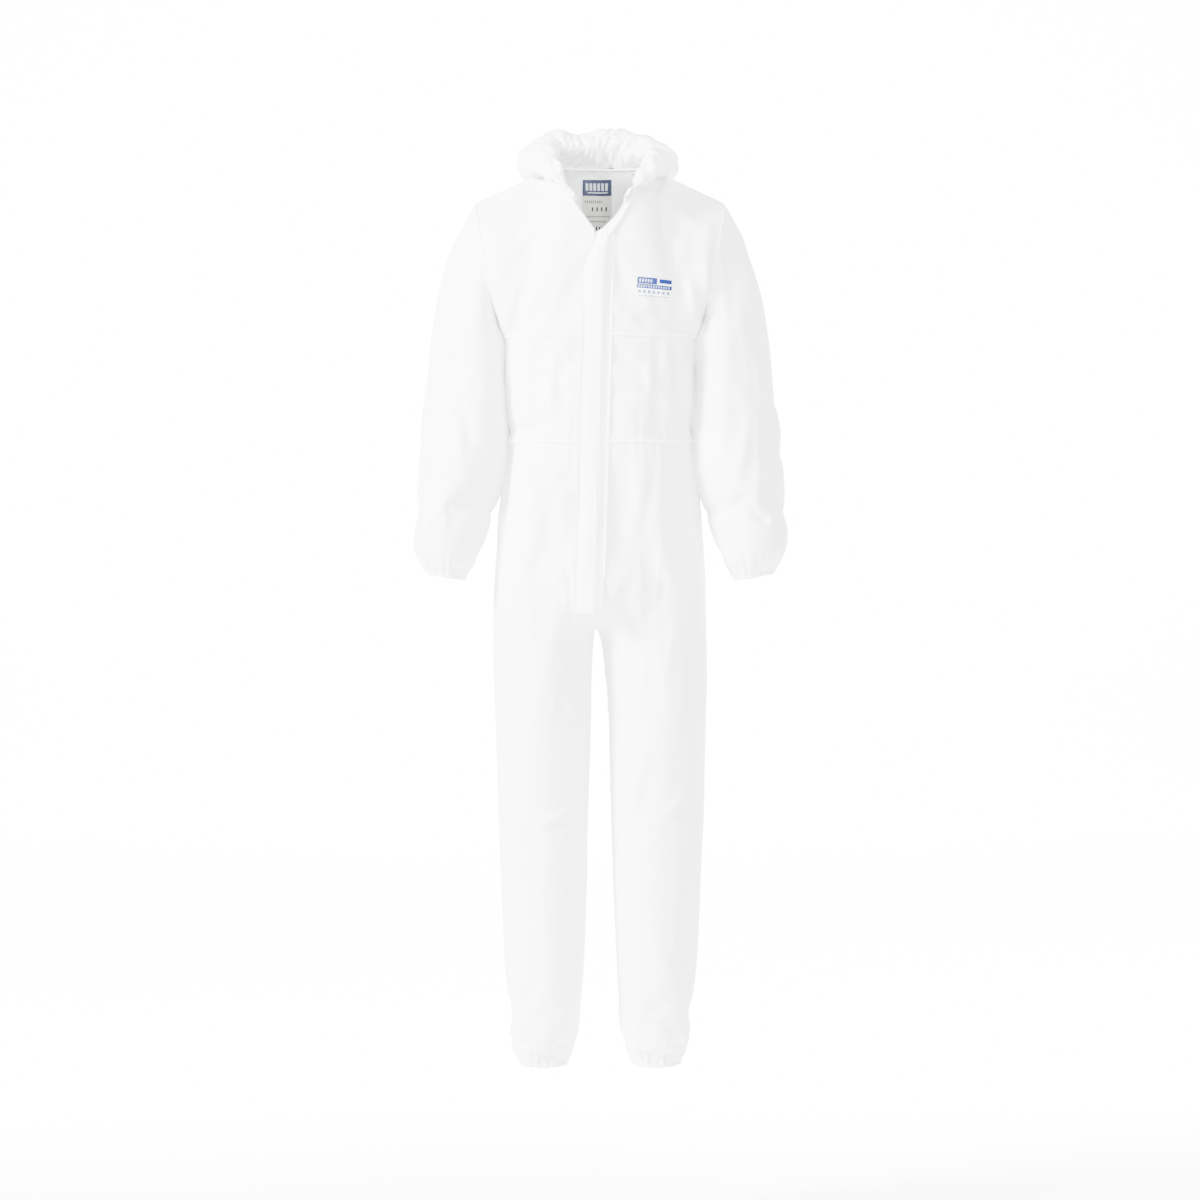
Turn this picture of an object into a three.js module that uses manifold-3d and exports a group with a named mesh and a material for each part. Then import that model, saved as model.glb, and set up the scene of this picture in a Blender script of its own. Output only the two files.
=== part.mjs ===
// A disposable hooded protective suit, laid out as it hangs on a body form: zip partly open, hood folded back.
// Millimetres. +Z up, the front faces -Y, the wearer's left is +X. The origin is the middle of the neck opening,
// at the height of the back neck seam. Cloth is a thin shell, and every sewn edge keeps a narrow gap.
import * as THREE from "three";
import { mergeVertices } from "three/addons/utils/BufferGeometryUtils.js";
import Module from "manifold-3d";

const wasm = await Module();
wasm.setup();

// ---------------------------------------------------------------- driving dimensions
const cloth = 2; // shell thickness that stands for the nonwoven
const seamGap = cloth / 4; // between two sewn edges, and between a strip and the cloth it is sewn to
const neckHalfWidth = 90;
const neckHalfDepth = 62;
const shoulderHalfWidth = 211;
const shoulderDrop = 57;
const vDrop = 112; // neck seam down to where the zip is open to
const chestDrop = 284; // neck seam down to the chest seam and the armpits
const waistDrop = 462;
const hipDrop = 690;
const crotchDrop = 776;
const ankleDrop = 1522;
const chestHalfWidth = 162;
const waistHalfWidth = 156;
const hipHalfWidth = 178;
const chestBackDepth = 104;
const waistBackDepth = 92;
const seatBackDepth = 124;
const frontDepth = 108; // of the front at the bottom of the V
const frontSlope = 0.024; // the straight front closure leans out by this much as it goes down
const closureDrift = 18; // how far the closure swings to the wearer's right by its lower end
const boxiness = 2.35; // superellipse power of the trunk: 2 is an ellipse

const sleeveEndDrop = 688; // neck seam down to the end of the cuff
const sleeveForward = 46; // how far the cuff hangs forward of the shoulder
const cuffHalfWidth = 31;
const legSpread = 96; // middle of each ankle from the middle plane
const ankleHalfWidth = 41;

const zipHalfGap = 9; // each front edge from the middle of the zip
const zipEndDrop = 640; // neck seam down to the end of the zip
const coilGap = 1.6; // between the two coils, where the slider's divider runs
const coilWidth = 2.8;
const coilThickness = 2.6;
const tapeWidth = 13;
const tapeThickness = 0.8;
const sliderHeight = 13;
const sliderWidth = 13;
const sliderClearance = 0.35;
const plateThickness = 1.2;
const bailHeight = 2.7; // the loop on the slider that carries the pull
const pullLength = 24;
const pullWidth = 7;
const pullThickness = 0.8;
const pullSwing = 15; // degrees, until the pull meets the closed flap

const flapEndDrop = 748;
const flapSewn = 19; // the flap's sewn edge, from the middle of the zip
const flapFree = 28; // its free edge, on the other side
const flapThickness = 1.4;
const elasticWidth = 8;
const elasticThickness = 1;

// ---------------------------------------------------------------- materials
const finish = (color, roughness) => new THREE.MeshStandardMaterial({ color, roughness, metalness: 0 });
const nonwoven = finish(0xf3f4f5, 0.85);
const tapeCloth = finish(0xf0f0f0, 0.8);
const nylon = finish(0xf7f7f5, 0.4);
const rubberElastic = finish(0xeeeeea, 0.7);
const labelCloth = finish(0xdad6cf, 0.6);
const labelFilm = finish(0xf6f7fa, 0.35);
const adhesive = finish(0xe4ecf2, 0.3);

const suit = new THREE.Group();
const vec = (x, y, z) => new THREE.Vector3(x, y, z);
const lerp = THREE.MathUtils.lerp;
const smooth = (t, a, b) => THREE.MathUtils.smoothstep(t, a, b);

function add(name, geometry, material) {
  const mesh = new THREE.Mesh(geometry, material);
  mesh.name = name;
  suit.add(mesh);
  return mesh;
}

// ---------------------------------------------------------------- shapes from surfaces
// A value read from stations [[drop, value], ...] by a smooth curve through them.
function profile(stations) {
  return (drop) => {
    const last = stations.length - 1;
    let i = 0;
    while (i < last - 1 && drop > stations[i + 1][0]) i++;
    const [d0, v0] = stations[i];
    const [d1, v1] = stations[i + 1];
    const slope = (k) => {
      const [a, b] = [stations[Math.max(k - 1, 0)], stations[Math.min(k + 1, last)]];
      return (b[1] - a[1]) / (b[0] - a[0]);
    };
    const h = d1 - d0;
    const t = THREE.MathUtils.clamp((drop - d0) / h, 0, 1);
    const [t2, t3] = [t * t, t * t * t];
    return (
      (2 * t3 - 3 * t2 + 1) * v0 +
      (t3 - 2 * t2 + t) * h * slope(i) +
      (3 * t2 - 2 * t3) * v1 +
      (t3 - t2) * h * slope(i + 1)
    );
  };
}

// The outward normal of a surface, outward being the side that facing says: 1 or -1.
function normalOf(surface, u, v, facing) {
  const e = 1e-3;
  const du = surface(u + e, v).sub(surface(u - e, v));
  const dv = surface(u, v + e).sub(surface(u, v - e));
  return du.cross(dv).normalize().multiplyScalar(facing);
}

// Cloth panels are closed shells on grids of surfaces. Their edges are sewn to one another, so where the
// grids of two panels meet, both are given thickness along one shared normal and then drawn apart.
const panels = [];

// facing says which side of the surface is outward: 1 or -1. With ring true the grid closes on itself in u.
function panel(name, surface, { facing, ring = false, nu, nv, raise = 0, thick = cloth, sewn = true }) {
  const columns = ring ? nu : nu + 1;
  const cells = [];
  for (let j = 0; j <= nv; j++)
    for (let i = 0; i < columns; i++) {
      const [u, v] = [i / nu, j / nv];
      const edge = j === 0 || j === nv || (!ring && (i === 0 || i === nu));
      const normal = normalOf(surface, u, v, facing);
      cells.push({ p: surface(u, v), normal, own: normal, edge, sewn });
    }
  panels.push({ name, cells, columns, ring, nu, nv, raise, thick });
}

function shareNormals() {
  const edges = panels.flatMap((piece) => piece.cells.filter((cell) => cell.edge && cell.sewn));
  for (const cell of edges) {
    const meeting = edges.filter((other) => other.p.distanceToSquared(cell.p) < 1e-4);
    const sum = meeting.reduce((total, other) => total.add(other.own), vec(0, 0, 0));
    cell.normal = sum.normalize();
    // A mitred corner is longer than the cloth is thick.
    cell.reach = 1 / Math.max(cell.normal.dot(cell.own), 0.6);
  }
}

function shell({ cells, columns, ring, nu, nv, raise, thick }) {
  const grid = cells.map(({ p, normal, reach = 1 }) =>
    [raise, raise - thick].map((offset) => p.clone().addScaledVector(normal, offset * reach)),
  );
  const at = (i, j) => grid[j * columns + (ring ? (i + nu) % nu : i)];
  const moves = new Map(grid.map((cell) => [cell, [vec(0, 0, 0), vec(0, 0, 0)]]));
  const draw = (cell, inner) =>
    moves.get(cell).forEach((move, k) => move.add(inner[k].clone().sub(cell[k]).setLength(seamGap / 2)));
  for (let i = 0; i < columns; i++) {
    draw(at(i, 0), at(i, 1));
    draw(at(i, nv), at(i, nv - 1));
  }
  for (let j = 0; j <= nv && !ring; j++) {
    draw(at(0, j), at(1, j));
    draw(at(nu, j), at(nu - 1, j));
  }
  for (const [cell, [outer, inner]] of moves) {
    cell[0].add(outer);
    cell[1].add(inner);
  }

  const triangles = [];
  const quad = (a, b, c, d) => triangles.push(a, b, c, a, c, d);
  const strip = (count, start, end) => {
    for (let i = 0; i < count; i++) quad(start(i)[1], start(i + 1)[1], start(i + 1)[0], start(i)[0]);
    for (let i = 0; i < count; i++) quad(end(i)[0], end(i + 1)[0], end(i + 1)[1], end(i)[1]);
  };
  for (let j = 0; j < nv; j++)
    for (let i = 0; i < nu; i++) {
      const corners = [at(i, j), at(i + 1, j), at(i + 1, j + 1), at(i, j + 1)];
      quad(...corners.map((cell) => cell[0]));
      quad(...corners.reverse().map((cell) => cell[1]));
    }
  strip(nu, (i) => at(i, 0), (i) => at(i, nv));
  if (!ring) strip(nv, (j) => at(nu, j), (j) => at(0, j));
  return facingOut(new THREE.BufferGeometry().setFromPoints(triangles));
}

// The geometry with its triangles turned round if it is inside out.
function facingOut(geometry) {
  const p = geometry.getAttribute("position");
  const [a, b, c] = [vec(), vec(), vec()];
  let volume = 0;
  for (let i = 0; i < p.count; i += 3) {
    a.fromBufferAttribute(p, i);
    b.fromBufferAttribute(p, i + 1);
    c.fromBufferAttribute(p, i + 2);
    volume += a.dot(b.cross(c));
  }
  if (volume < 0)
    for (let i = 0; i < p.count; i += 3) {
      a.fromBufferAttribute(p, i + 1);
      b.fromBufferAttribute(p, i + 2);
      p.setXYZ(i + 1, b.x, b.y, b.z);
      p.setXYZ(i + 2, a.x, a.y, a.z);
    }
  geometry.computeVertexNormals();
  return geometry;
}

function solid(geometry) {
  const bare = new THREE.BufferGeometry();
  bare.setAttribute("position", geometry.getAttribute("position").clone());
  if (geometry.index) bare.setIndex(geometry.index.clone());
  const merged = mergeVertices(bare, 1e-3);
  return new wasm.Manifold(
    new wasm.Mesh({
      numProp: 3,
      vertProperties: new Float32Array(merged.getAttribute("position").array),
      triVerts: new Uint32Array(merged.index.array),
    }),
  );
}

function geometryOf(manifold) {
  const mesh = manifold.getMesh();
  const geometry = new THREE.BufferGeometry();
  geometry.setAttribute("position", new THREE.BufferAttribute(new Float32Array(mesh.vertProperties), 3));
  geometry.setIndex(new THREE.BufferAttribute(new Uint32Array(mesh.triVerts), 1));
  geometry.computeVertexNormals();
  return geometry;
}

const bezier = (a, b, c, d, t) => new THREE.CubicBezierCurve3(a, b, c, d).getPoint(t);

// A smooth curve through points at chosen places along it: [[place, x, y, z], ...], places from 0 to 1.
function curveThrough(points) {
  const axes = [1, 2, 3].map((k) => profile(points.map((p) => [p[0], p[k]])));
  return (t) => vec(...axes.map((axis) => axis(t)));
}

// ---------------------------------------------------------------- trunk
const halfWidthAt = profile([
  [chestDrop, chestHalfWidth],
  [(chestDrop + waistDrop) / 2, (chestHalfWidth + waistHalfWidth) / 2],
  [waistDrop, waistHalfWidth],
  [waistDrop + 70, lerp(waistHalfWidth, hipHalfWidth, 0.55)],
  [hipDrop, hipHalfWidth],
]);
const backDepthAt = profile([
  [chestDrop, chestBackDepth],
  [waistDrop, waistBackDepth],
  [waistDrop + 120, lerp(waistBackDepth, seatBackDepth, 0.85)],
  [hipDrop, seatBackDepth],
]);
const frontDepthAt = (drop) => frontDepth + frontSlope * (drop - vDrop);
const closureAt = (drop) => (-closureDrift * (drop - vDrop)) / (flapEndDrop - vDrop);

const frontEdgeAt = (drop) => lerp(zipHalfGap, 0.5, smooth(drop, zipEndDrop + 4, hipDrop));

const power = (x, p) => Math.sign(x) * Math.abs(x) ** p;

// The angle round the trunk, from the front, at which its surface stands x from the middle plane.
const angleAt = (x, drop) => Math.asin(power(x / halfWidthAt(drop), boxiness / 2));

function trunkPoint(angle, drop) {
  const depth = Math.cos(angle) > 0 ? frontDepthAt(drop) : backDepthAt(drop);
  return vec(
    halfWidthAt(drop) * power(Math.sin(angle), 2 / boxiness),
    -depth * power(Math.cos(angle), 2 / boxiness),
    -drop,
  );
}

// One side of the trunk at a height: k runs from the front edge (0) by the side seam (0.5) to the middle of the back (1).
function sidePoint(side, k, drop) {
  const start = angleAt(side * closureAt(drop) + frontEdgeAt(drop), drop);
  const angle = k < 0.5 ? lerp(start, Math.PI / 2, 2 * k) : lerp(Math.PI / 2, Math.PI, 2 * k - 1);
  const p = trunkPoint(angle, drop);
  p.x *= side;
  return p;
}

// ---------------------------------------------------------------- chest, from the chest seam up over the shoulder
const shoulderLine = [
  [0.7, lerp(neckHalfWidth, shoulderHalfWidth, 0.37), 7, -shoulderDrop * 0.36],
  [0.86, lerp(neckHalfWidth, shoulderHalfWidth, 0.72), 9, -shoulderDrop * 0.7],
  [1, shoulderHalfWidth, 10, -shoulderDrop],
];
const frontNeckline = curveThrough([
  [0, zipHalfGap, -frontDepth, -vDrop],
  [0.14, neckHalfWidth * 0.36, -frontDepth * 0.95, -vDrop * 0.7],
  [0.28, neckHalfWidth * 0.62, -frontDepth * 0.78, -vDrop * 0.36],
  [0.4, neckHalfWidth * 0.88, -frontDepth * 0.42, -vDrop * 0.09],
  [0.5, neckHalfWidth, 5, 0],
]);
const backNeckline = curveThrough([
  [0, 0, neckHalfDepth, 0],
  [0.2, neckHalfWidth * 0.5, neckHalfDepth * 0.86, 0],
  [0.38, neckHalfWidth * 0.88, neckHalfDepth * 0.48, 0],
  [0.5, neckHalfWidth, 5, 0],
]);
const shoulder = curveThrough([[0.5, neckHalfWidth, 5, 0], ...shoulderLine]);
const armholeBulge = 86; // how far the armhole's control points stand forward and back
const chestHeight = chestDrop - shoulderDrop;

// One half of the front (front = 1) or back (front = -1) of the chest: s runs from the middle to the armhole, t up.
function chestPoint(side, front, s, t) {
  const low = sidePoint(side, front > 0 ? s / 2 : 1 - s / 2, chestDrop);
  low.x *= side;
  const neckline = front > 0 ? frontNeckline : backNeckline;
  const high = (s < 0.5 ? neckline : shoulder)(s);
  if (front > 0) high.x += side * closureAt(vDrop) * (1 - s);
  const out = smooth(s, 0.45, 1);
  const over = smooth(s, 0.1, 0.55);
  const lowHandle = vec(lerp(0, 22, out), -front * lerp(1, armholeBulge, out), lerp(0.33, 0.24, out) * chestHeight);
  const highHandle = vec(
    lerp(0, -6, out),
    -front * lerp(front > 0 ? 2 : 16, armholeBulge, over),
    -lerp(0.25, 0.2, over) * chestHeight,
  );
  const p = bezier(low, low.clone().add(lowHandle), high.clone().add(highHandle), high, t);
  p.x *= side;
  return p;
}

// The ring of an armhole: k goes once round, from the shoulder down the front to the armpit and up the back.
function armholePoint(side, k) {
  const turn = ((k % 1) + 1) % 1;
  return turn < 0.5 ? chestPoint(side, 1, 1, 1 - 2 * turn) : chestPoint(side, -1, 1, 2 * turn - 1);
}

// ---------------------------------------------------------------- sleeve
const sleeveInside = profile([
  [0, chestHalfWidth],
  [0.2, chestHalfWidth + 5],
  [0.62, chestHalfWidth + 7],
  [0.8, chestHalfWidth + 23],
  [0.93, chestHalfWidth + 45],
  [1, chestHalfWidth + 66],
]);
const sleeveOutside = profile([
  [0, shoulderHalfWidth + 34],
  [0.2, shoulderHalfWidth + 64],
  [0.42, shoulderHalfWidth + 90],
  [0.62, shoulderHalfWidth + 108],
  [0.8, shoulderHalfWidth + 114],
  [0.93, shoulderHalfWidth + 109],
  [1, chestHalfWidth + 66 + 2 * cuffHalfWidth],
]);
const sleeveTopDrop = 170; // the height at which the sleeve's middle leaves the armhole

function sleevePoint(side, k, v) {
  const turn = 2 * Math.PI * k;
  const drop = lerp(sleeveTopDrop, sleeveEndDrop, v);
  const wide = (sleeveOutside(v) - sleeveInside(v)) / 2;
  const tilt = 0.16 + 0.75 * (1 - smooth(v, 0, 0.42)); // rings near the armhole lean with it
  const forward = sleeveForward * smooth(v, 0.25, 1.1);
  const ring = vec(
    side * (sleeveInside(v) + wide * (1 + Math.cos(turn))),
    6 - forward - wide * 1.02 * Math.sin(turn),
    -drop + tilt * wide * Math.cos(turn),
  );
  return armholePoint(side, k).lerp(ring, 1 - (1 - Math.min(v / 0.2, 1)) ** 2);
}

// Where a sleeve is parted for its joints: the part of v that each piece has, with a slant round the ring.
const frontness = (k) => Math.sin(2 * Math.PI * k);
const elbowAt = 0.5;
const elbowReach = (k) => 0.1 + 0.085 * frontness(k); // widest in the crook, where the cloth folds up
const sleeveCuts = {
  head: () => 0,
  upper: () => 0.19,
  elbowTop: (k) => elbowAt - elbowReach(k),
  elbowEnd: (k) => elbowAt + elbowReach(k),
  end: () => 1,
};
const between = (surface, side, from, to) => (u, v) => surface(side, u, lerp(from(u), to(u), v));

// ---------------------------------------------------------------- hips and legs
const thighDrop = crotchDrop + 30;
const thighMiddle = 98;
const thighHalfWidth = 82;
const thighHalfDepth = 94;
const crotchAside = -7;

const legMiddle = profile([
  [0, thighMiddle],
  [0.3, 99],
  [0.6, 98],
  [1, legSpread],
]);
const legHalfWidth = profile([
  [0, thighHalfWidth],
  [0.2, 80],
  [0.45, 73],
  [0.7, 66],
  [0.86, 58],
  [0.95, 50],
  [1, ankleHalfWidth],
]);
const legHalfDepth = profile([
  [0, thighHalfDepth],
  [0.2, 92],
  [0.45, 82],
  [0.7, 76],
  [0.86, 68],
  [0.95, 58],
  [1, ankleHalfWidth * 1.15],
]);

// A leg from the thigh ring down to the ankle: k goes once round from the inseam over the front, the outside and the back.
function legPoint(side, k, v) {
  const turn = 2 * Math.PI * k;
  return vec(
    side * (legMiddle(v) - legHalfWidth(v) * Math.cos(turn)),
    4 + 10 * v - legHalfDepth(v) * Math.sin(turn),
    -lerp(thighDrop, ankleDrop, v),
  );
}

const nearInseam = (k) => 1 - smooth(Math.min(k, 1 - k), 0, 0.22);
const crotchSeam = (side) => vec(crotchAside + side * 0.6, 4, -crotchDrop);

// From the hip ring under the crotch to the thigh ring, with the same k.
function crotchPoint(side, k, v) {
  const low = legPoint(side, k, 0);
  const high = sidePoint(side, k, hipDrop);
  const front = k < 0.5 ? 1 : -1;
  const inner = nearInseam(k);
  low.lerp(crotchSeam(side), inner ** 2);
  const fall = (thighDrop - hipDrop) / 3;
  const leave = high.clone().add(vec(0, -front * fall * frontSlope, -lerp(fall, 70, inner)));
  const arrive = low.clone().add(vec(side * 2 * inner, -front * 50 * inner, lerp(fall, -4, inner)));
  return bezier(high, leave, arrive, low, v);
}

// The leg below the crotch seam, which the inseam reaches at its top.
function legFromCrotch(side, k, v) {
  const p = legPoint(side, k, v);
  return p.lerp(crotchSeam(side), nearInseam(k) ** 2 * (1 - smooth(v, 0, 0.12)));
}

const kneeAt = 0.42;
const backness = (k) => -Math.sin(2 * Math.PI * k);
const kneeReach = (k) => 0.078 + 0.062 * backness(k); // widest behind the knee
const legCuts = {
  top: () => 0,
  kneeTop: (k) => kneeAt - kneeReach(k),
  kneeEnd: (k) => kneeAt + kneeReach(k),
  end: () => 1,
};

// ---------------------------------------------------------------- cloth panels
for (const [side, hand] of [[1, "left"], [-1, "right"]]) {
  const chest = (front) => (u, v) => chestPoint(side, front, u, v);
  panel(`front_chest_${hand}`, chest(1), { facing: side, nu: 8, nv: 8 });
  panel(`back_chest_${hand}`, chest(-1), { facing: -side, nu: 8, nv: 8 });
  const half = (from, to) => (u, v) => sidePoint(side, u, lerp(from, to, v));
  panel(`midriff_${hand}`, half(chestDrop, waistDrop), { facing: -side, nu: 16, nv: 4 });
  panel(`hip_${hand}`, half(waistDrop, hipDrop), { facing: -side, nu: 16, nv: 5 });
  panel(`crotch_${hand}`, (u, v) => crotchPoint(side, u, v), { facing: -side, nu: 16, nv: 5 });
  const leg = (name, from, to, nv) =>
    panel(`${name}_${hand}`, between(legFromCrotch, side, from, to), { facing: -side, ring: true, nu: 16, nv });
  leg("thigh", legCuts.top, legCuts.kneeTop, 5);
  leg("knee", legCuts.kneeTop, legCuts.kneeEnd, 3);
  leg("shin", legCuts.kneeEnd, legCuts.end, 8);
  const sleeve = (name, from, to, nv) =>
    panel(`${name}_${hand}`, between(sleevePoint, side, from, to), { facing: side, ring: true, nu: 16, nv });
  sleeve("sleeve_head", sleeveCuts.head, sleeveCuts.upper, 3);
  sleeve("sleeve_upper", sleeveCuts.upper, sleeveCuts.elbowTop, 3);
  sleeve("sleeve_elbow", sleeveCuts.elbowTop, sleeveCuts.elbowEnd, 3);
  sleeve("sleeve_lower", sleeveCuts.elbowEnd, sleeveCuts.end, 6);
}

// ---------------------------------------------------------------- hood, pushed back and bunched round the neck
// Its section goes from the neck seam down into the bag behind the neck, and up again to the elastic face edge.
const hoodFront = 0.28; // where on the front neckline the hood begins
const hoodTop = 73;
const hoodBag = { out: 78, down: 44 };
const hoodSeam = (u) => {
  const k = lerp(hoodFront, 1, u);
  return (k < 0.5 ? frontNeckline(k) : backNeckline(1 - k)).add(vec(0, 0, 0.85));
};

function hoodPoint(side, u, v) {
  const seam = hoodSeam(u);
  const out = vec(seam.x, (seam.y - 5) * 1.15, 0).normalize();
  const behind = smooth(u, 0.2, 1);
  const uneven = (1 - smooth(u, 0.4, 0.9)) * (side < 0 ? 0.08 : 0);
  const size = lerp(0.42, 1, smooth(u, -0.1, 0.75)) * (1 + uneven);
  const fold = 1 + 0.1 * Math.sin((1 - u) * 21) * Math.sin(Math.PI * v);
  const section = curveThrough([
    [0, 0, 0, 0],
    [0.16, 0.16, 0, 0.12],
    [0.4, lerp(0.5, 0.72, behind), 0, lerp(0.02, -hoodBag.down / hoodBag.out, behind)],
    [0.62, lerp(0.62, 1, behind), 0, lerp(0.32, 0.05, behind)],
    [0.84, lerp(0.5, 0.82, behind), 0, lerp(0.7, 0.66, behind)],
    [1, lerp(0.16, 0.36, behind), 0, lerp(0.82, hoodTop / hoodBag.out, behind)],
  ])(v);
  const reach = hoodBag.out * size * fold;
  const p = seam.addScaledVector(out, section.x * reach).add(vec(0, 0, section.z * reach));
  p.x *= side;
  return p;
}
for (const [side, hand] of [[1, "left"], [-1, "right"]]) {
  panel(`hood_${hand}`, (u, v) => hoodPoint(side, u, v), { facing: side, nu: 20, nv: 14 });
}

shareNormals();

// ---------------------------------------------------------------- strips sewn to the cloth
// A strip stands a little farther off where the cloth under it is twisted.
const onTop = (thick, off = seamGap) => ({ raise: off + thick, thick, sewn: false });
const underneath = (thick, off = seamGap) => ({ raise: -(cloth + off), thick, sewn: false });
const twisted = 1.2;
const part = (surface, u0, u1, v0, v1) => (u, v) => surface(lerp(u0, u1, u), lerp(v0, v1, v));

// The faceted surface that a named panel really has, so that a strip on it keeps its distance.
function facets(name) {
  const { cells, columns, ring, nu, nv } = panels.find((piece) => piece.name === name);
  const at = (i, j) => cells[j * columns + (ring ? (i + nu) % nu : i)].p;
  return (u, v) => {
    const [x, y] = [ring ? u * nu : THREE.MathUtils.clamp(u, 0, 1) * nu, THREE.MathUtils.clamp(v, 0, 1.2) * nv];
    const i = ring ? Math.floor(x) : Math.min(Math.floor(x), nu - 1);
    const j = Math.min(Math.floor(y), nv - 1);
    const low = at(i, j).clone().lerp(at(i + 1, j), x - i);
    const high = at(i, j + 1).clone().lerp(at(i + 1, j + 1), x - i);
    return low.lerp(high, y - j);
  };
}

// The left and right panels of a pair in one strip: u runs from the left front by the back (0.5) to the right front.
const roundBack = (name, inset, v0, v1) => {
  const sides = [facets(`${name}_left`), facets(`${name}_right`)];
  return (u, v) => sides[u < 0.5 ? 0 : 1](lerp(inset, 1, 1 - Math.abs(1 - 2 * u)), lerp(v0, v1, v));
};
const seamHeight = 4;
const seamRise = 1;
const hipShare = (height) => height / (hipDrop - waistDrop);
const midriffShare = (height) => height / (waistDrop - chestDrop);
const band = { facing: -1, nu: 30, nv: 1 };
panel("waist_seam", roundBack("hip", 1 / 16, hipShare(1), hipShare(1 + seamHeight)), { ...band, ...onTop(seamRise) });
panel("waist_elastic", roundBack("hip", 1 / 16, hipShare(2), hipShare(2 + elasticWidth)), {
  ...band,
  ...underneath(elasticThickness),
});
panel("chest_seam_back", roundBack("midriff", 10 / 16, midriffShare(1), midriffShare(1 + seamHeight)), {
  ...band,
  nu: 12,
  ...onTop(seamRise),
});
panel("hood_face_elastic", roundBack("hood", 1 / 20, 0.945, 0.985), {
  facing: 1,
  nu: 38,
  nv: 1,
  ...underneath(elasticThickness, twisted),
});

for (const [side, hand] of [[1, "left"], [-1, "right"]]) {
  const chestSeam = part(facets(`midriff_${hand}`), 2 / 16, 6 / 16, midriffShare(1), midriffShare(1 + seamHeight));
  panel(`chest_seam_${hand}`, chestSeam, { facing: -side, nu: 4, nv: 1, ...onTop(seamRise) });
  const armholeSeam = part(facets(`sleeve_head_${hand}`), -5 / 16, 5 / 16, 0.03, 0.1);
  panel(`armhole_seam_${hand}`, armholeSeam, { facing: side, nu: 10, nv: 1, ...onTop(seamRise, twisted) });
  const ringBand = { ring: true, nu: 16, nv: 1, ...underneath(elasticThickness) };
  const cuffBand = part(facets(`sleeve_lower_${hand}`), 0, 1, 0.925, 0.975);
  panel(`cuff_elastic_${hand}`, cuffBand, { facing: side, ...ringBand });
  const ankleBand = part(facets(`shin_${hand}`), 0, 1, 0.965, 0.985);
  panel(`ankle_elastic_${hand}`, ankleBand, { facing: -side, ...ringBand });
}

const backs = [facets("back_chest_left"), facets("back_chest_right")];
const byNeck = (u, v) => backs[u < 0 ? 1 : 0](Math.abs(u), v);
panel("neck_label", part(byNeck, -0.15, 0.1, 0.6, 0.95), { facing: -1, nu: 6, nv: 4, ...underneath(0.5) });
const onChest = facets("front_chest_left");
panel("chest_label", part(onChest, 4 / 16, 9 / 16, 2.02 / 8, 2.86 / 8), { facing: 1, nu: 10, nv: 3, ...onTop(0.4, twisted) });

// ---------------------------------------------------------------- zip
// x across the zip, forward from the cloth's outer face, and the height down from the neck seam.
const closurePoint = (x, forward, drop) => vec(closureAt(drop) + x, -frontDepthAt(drop) - forward, -drop);

function closureBox([x0, x1], [back, front], [top, bottom]) {
  const box = new THREE.BoxGeometry(x1 - x0, front - back, bottom - top);
  box.translate((x0 + x1) / 2, (back + front) / 2, (top + bottom) / 2);
  const p = box.getAttribute("position");
  for (let i = 0; i < p.count; i++) {
    const q = closurePoint(p.getX(i), p.getY(i), p.getZ(i));
    p.setXYZ(i, q.x, q.y, q.z);
  }
  box.computeVertexNormals();
  return box;
}

const tapeFront = -(cloth + seamGap + 0.9);
const coilBack = tapeFront + 0.3;
const coilFront = coilBack + coilThickness;
const coilFrom = coilGap / 2;
const coilTo = coilFrom + coilWidth;
const zipTop = vDrop + 2;
for (const [side, hand] of [[1, "left"], [-1, "right"]]) {
  const across = (from, to) => [side * from, side * to].sort((a, b) => a - b);
  const along = [zipTop, zipEndDrop];
  const tape = closureBox(across(coilFrom, coilFrom + tapeWidth), [tapeFront - tapeThickness, tapeFront], along);
  add(`zip_tape_${hand}`, tape, tapeCloth);
  add(`zip_coil_${hand}`, closureBox(across(coilFrom, coilTo), [coilBack, coilFront], along), nylon);
}
add(
  "zip_bottom_stop",
  closureBox([-coilTo, coilTo], [coilBack, coilFront + 0.5], [zipEndDrop + 0.3, zipEndDrop + 5]),
  nylon,
);

const sliderTop = zipTop + 2;
const plateFrom = coilFront + sliderClearance;
const plateTo = plateFrom + plateThickness;
const sliderBack = tapeFront - tapeThickness - sliderClearance;
const sliderHalf = sliderWidth / 2;
const sliderSpan = [sliderTop, sliderTop + sliderHeight];
const flangeFrom = coilTo + sliderClearance;
const bailTop = sliderTop + 3;
const pinDrop = bailTop + 3;
const pinForward = plateTo + 0.65;
let slider = solid(closureBox([-sliderHalf, sliderHalf], [plateFrom, plateTo], sliderSpan))
  .add(solid(closureBox([-sliderHalf, sliderHalf], [sliderBack - plateThickness, sliderBack], sliderSpan)))
  .add(solid(closureBox([-0.45, 0.45], [sliderBack - 0.5, plateFrom + 0.5], [sliderTop, sliderTop + 5])))
  .add(solid(closureBox([-1.2, 1.2], [plateTo - 0.5, plateTo + bailHeight], [bailTop, bailTop + 6])))
  .subtract(solid(closureBox([-2, 2], [plateTo, plateTo + 1.3], [pinDrop - 1.6, pinDrop + 1.6])));
for (const side of [-1, 1]) {
  const across = [side * flangeFrom, side * sliderHalf].sort((a, b) => a - b);
  slider = slider.add(solid(closureBox(across, [tapeFront + sliderClearance, plateFrom + 0.5], sliderSpan)));
}
add("zip_slider", geometryOf(slider), nylon);

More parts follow.
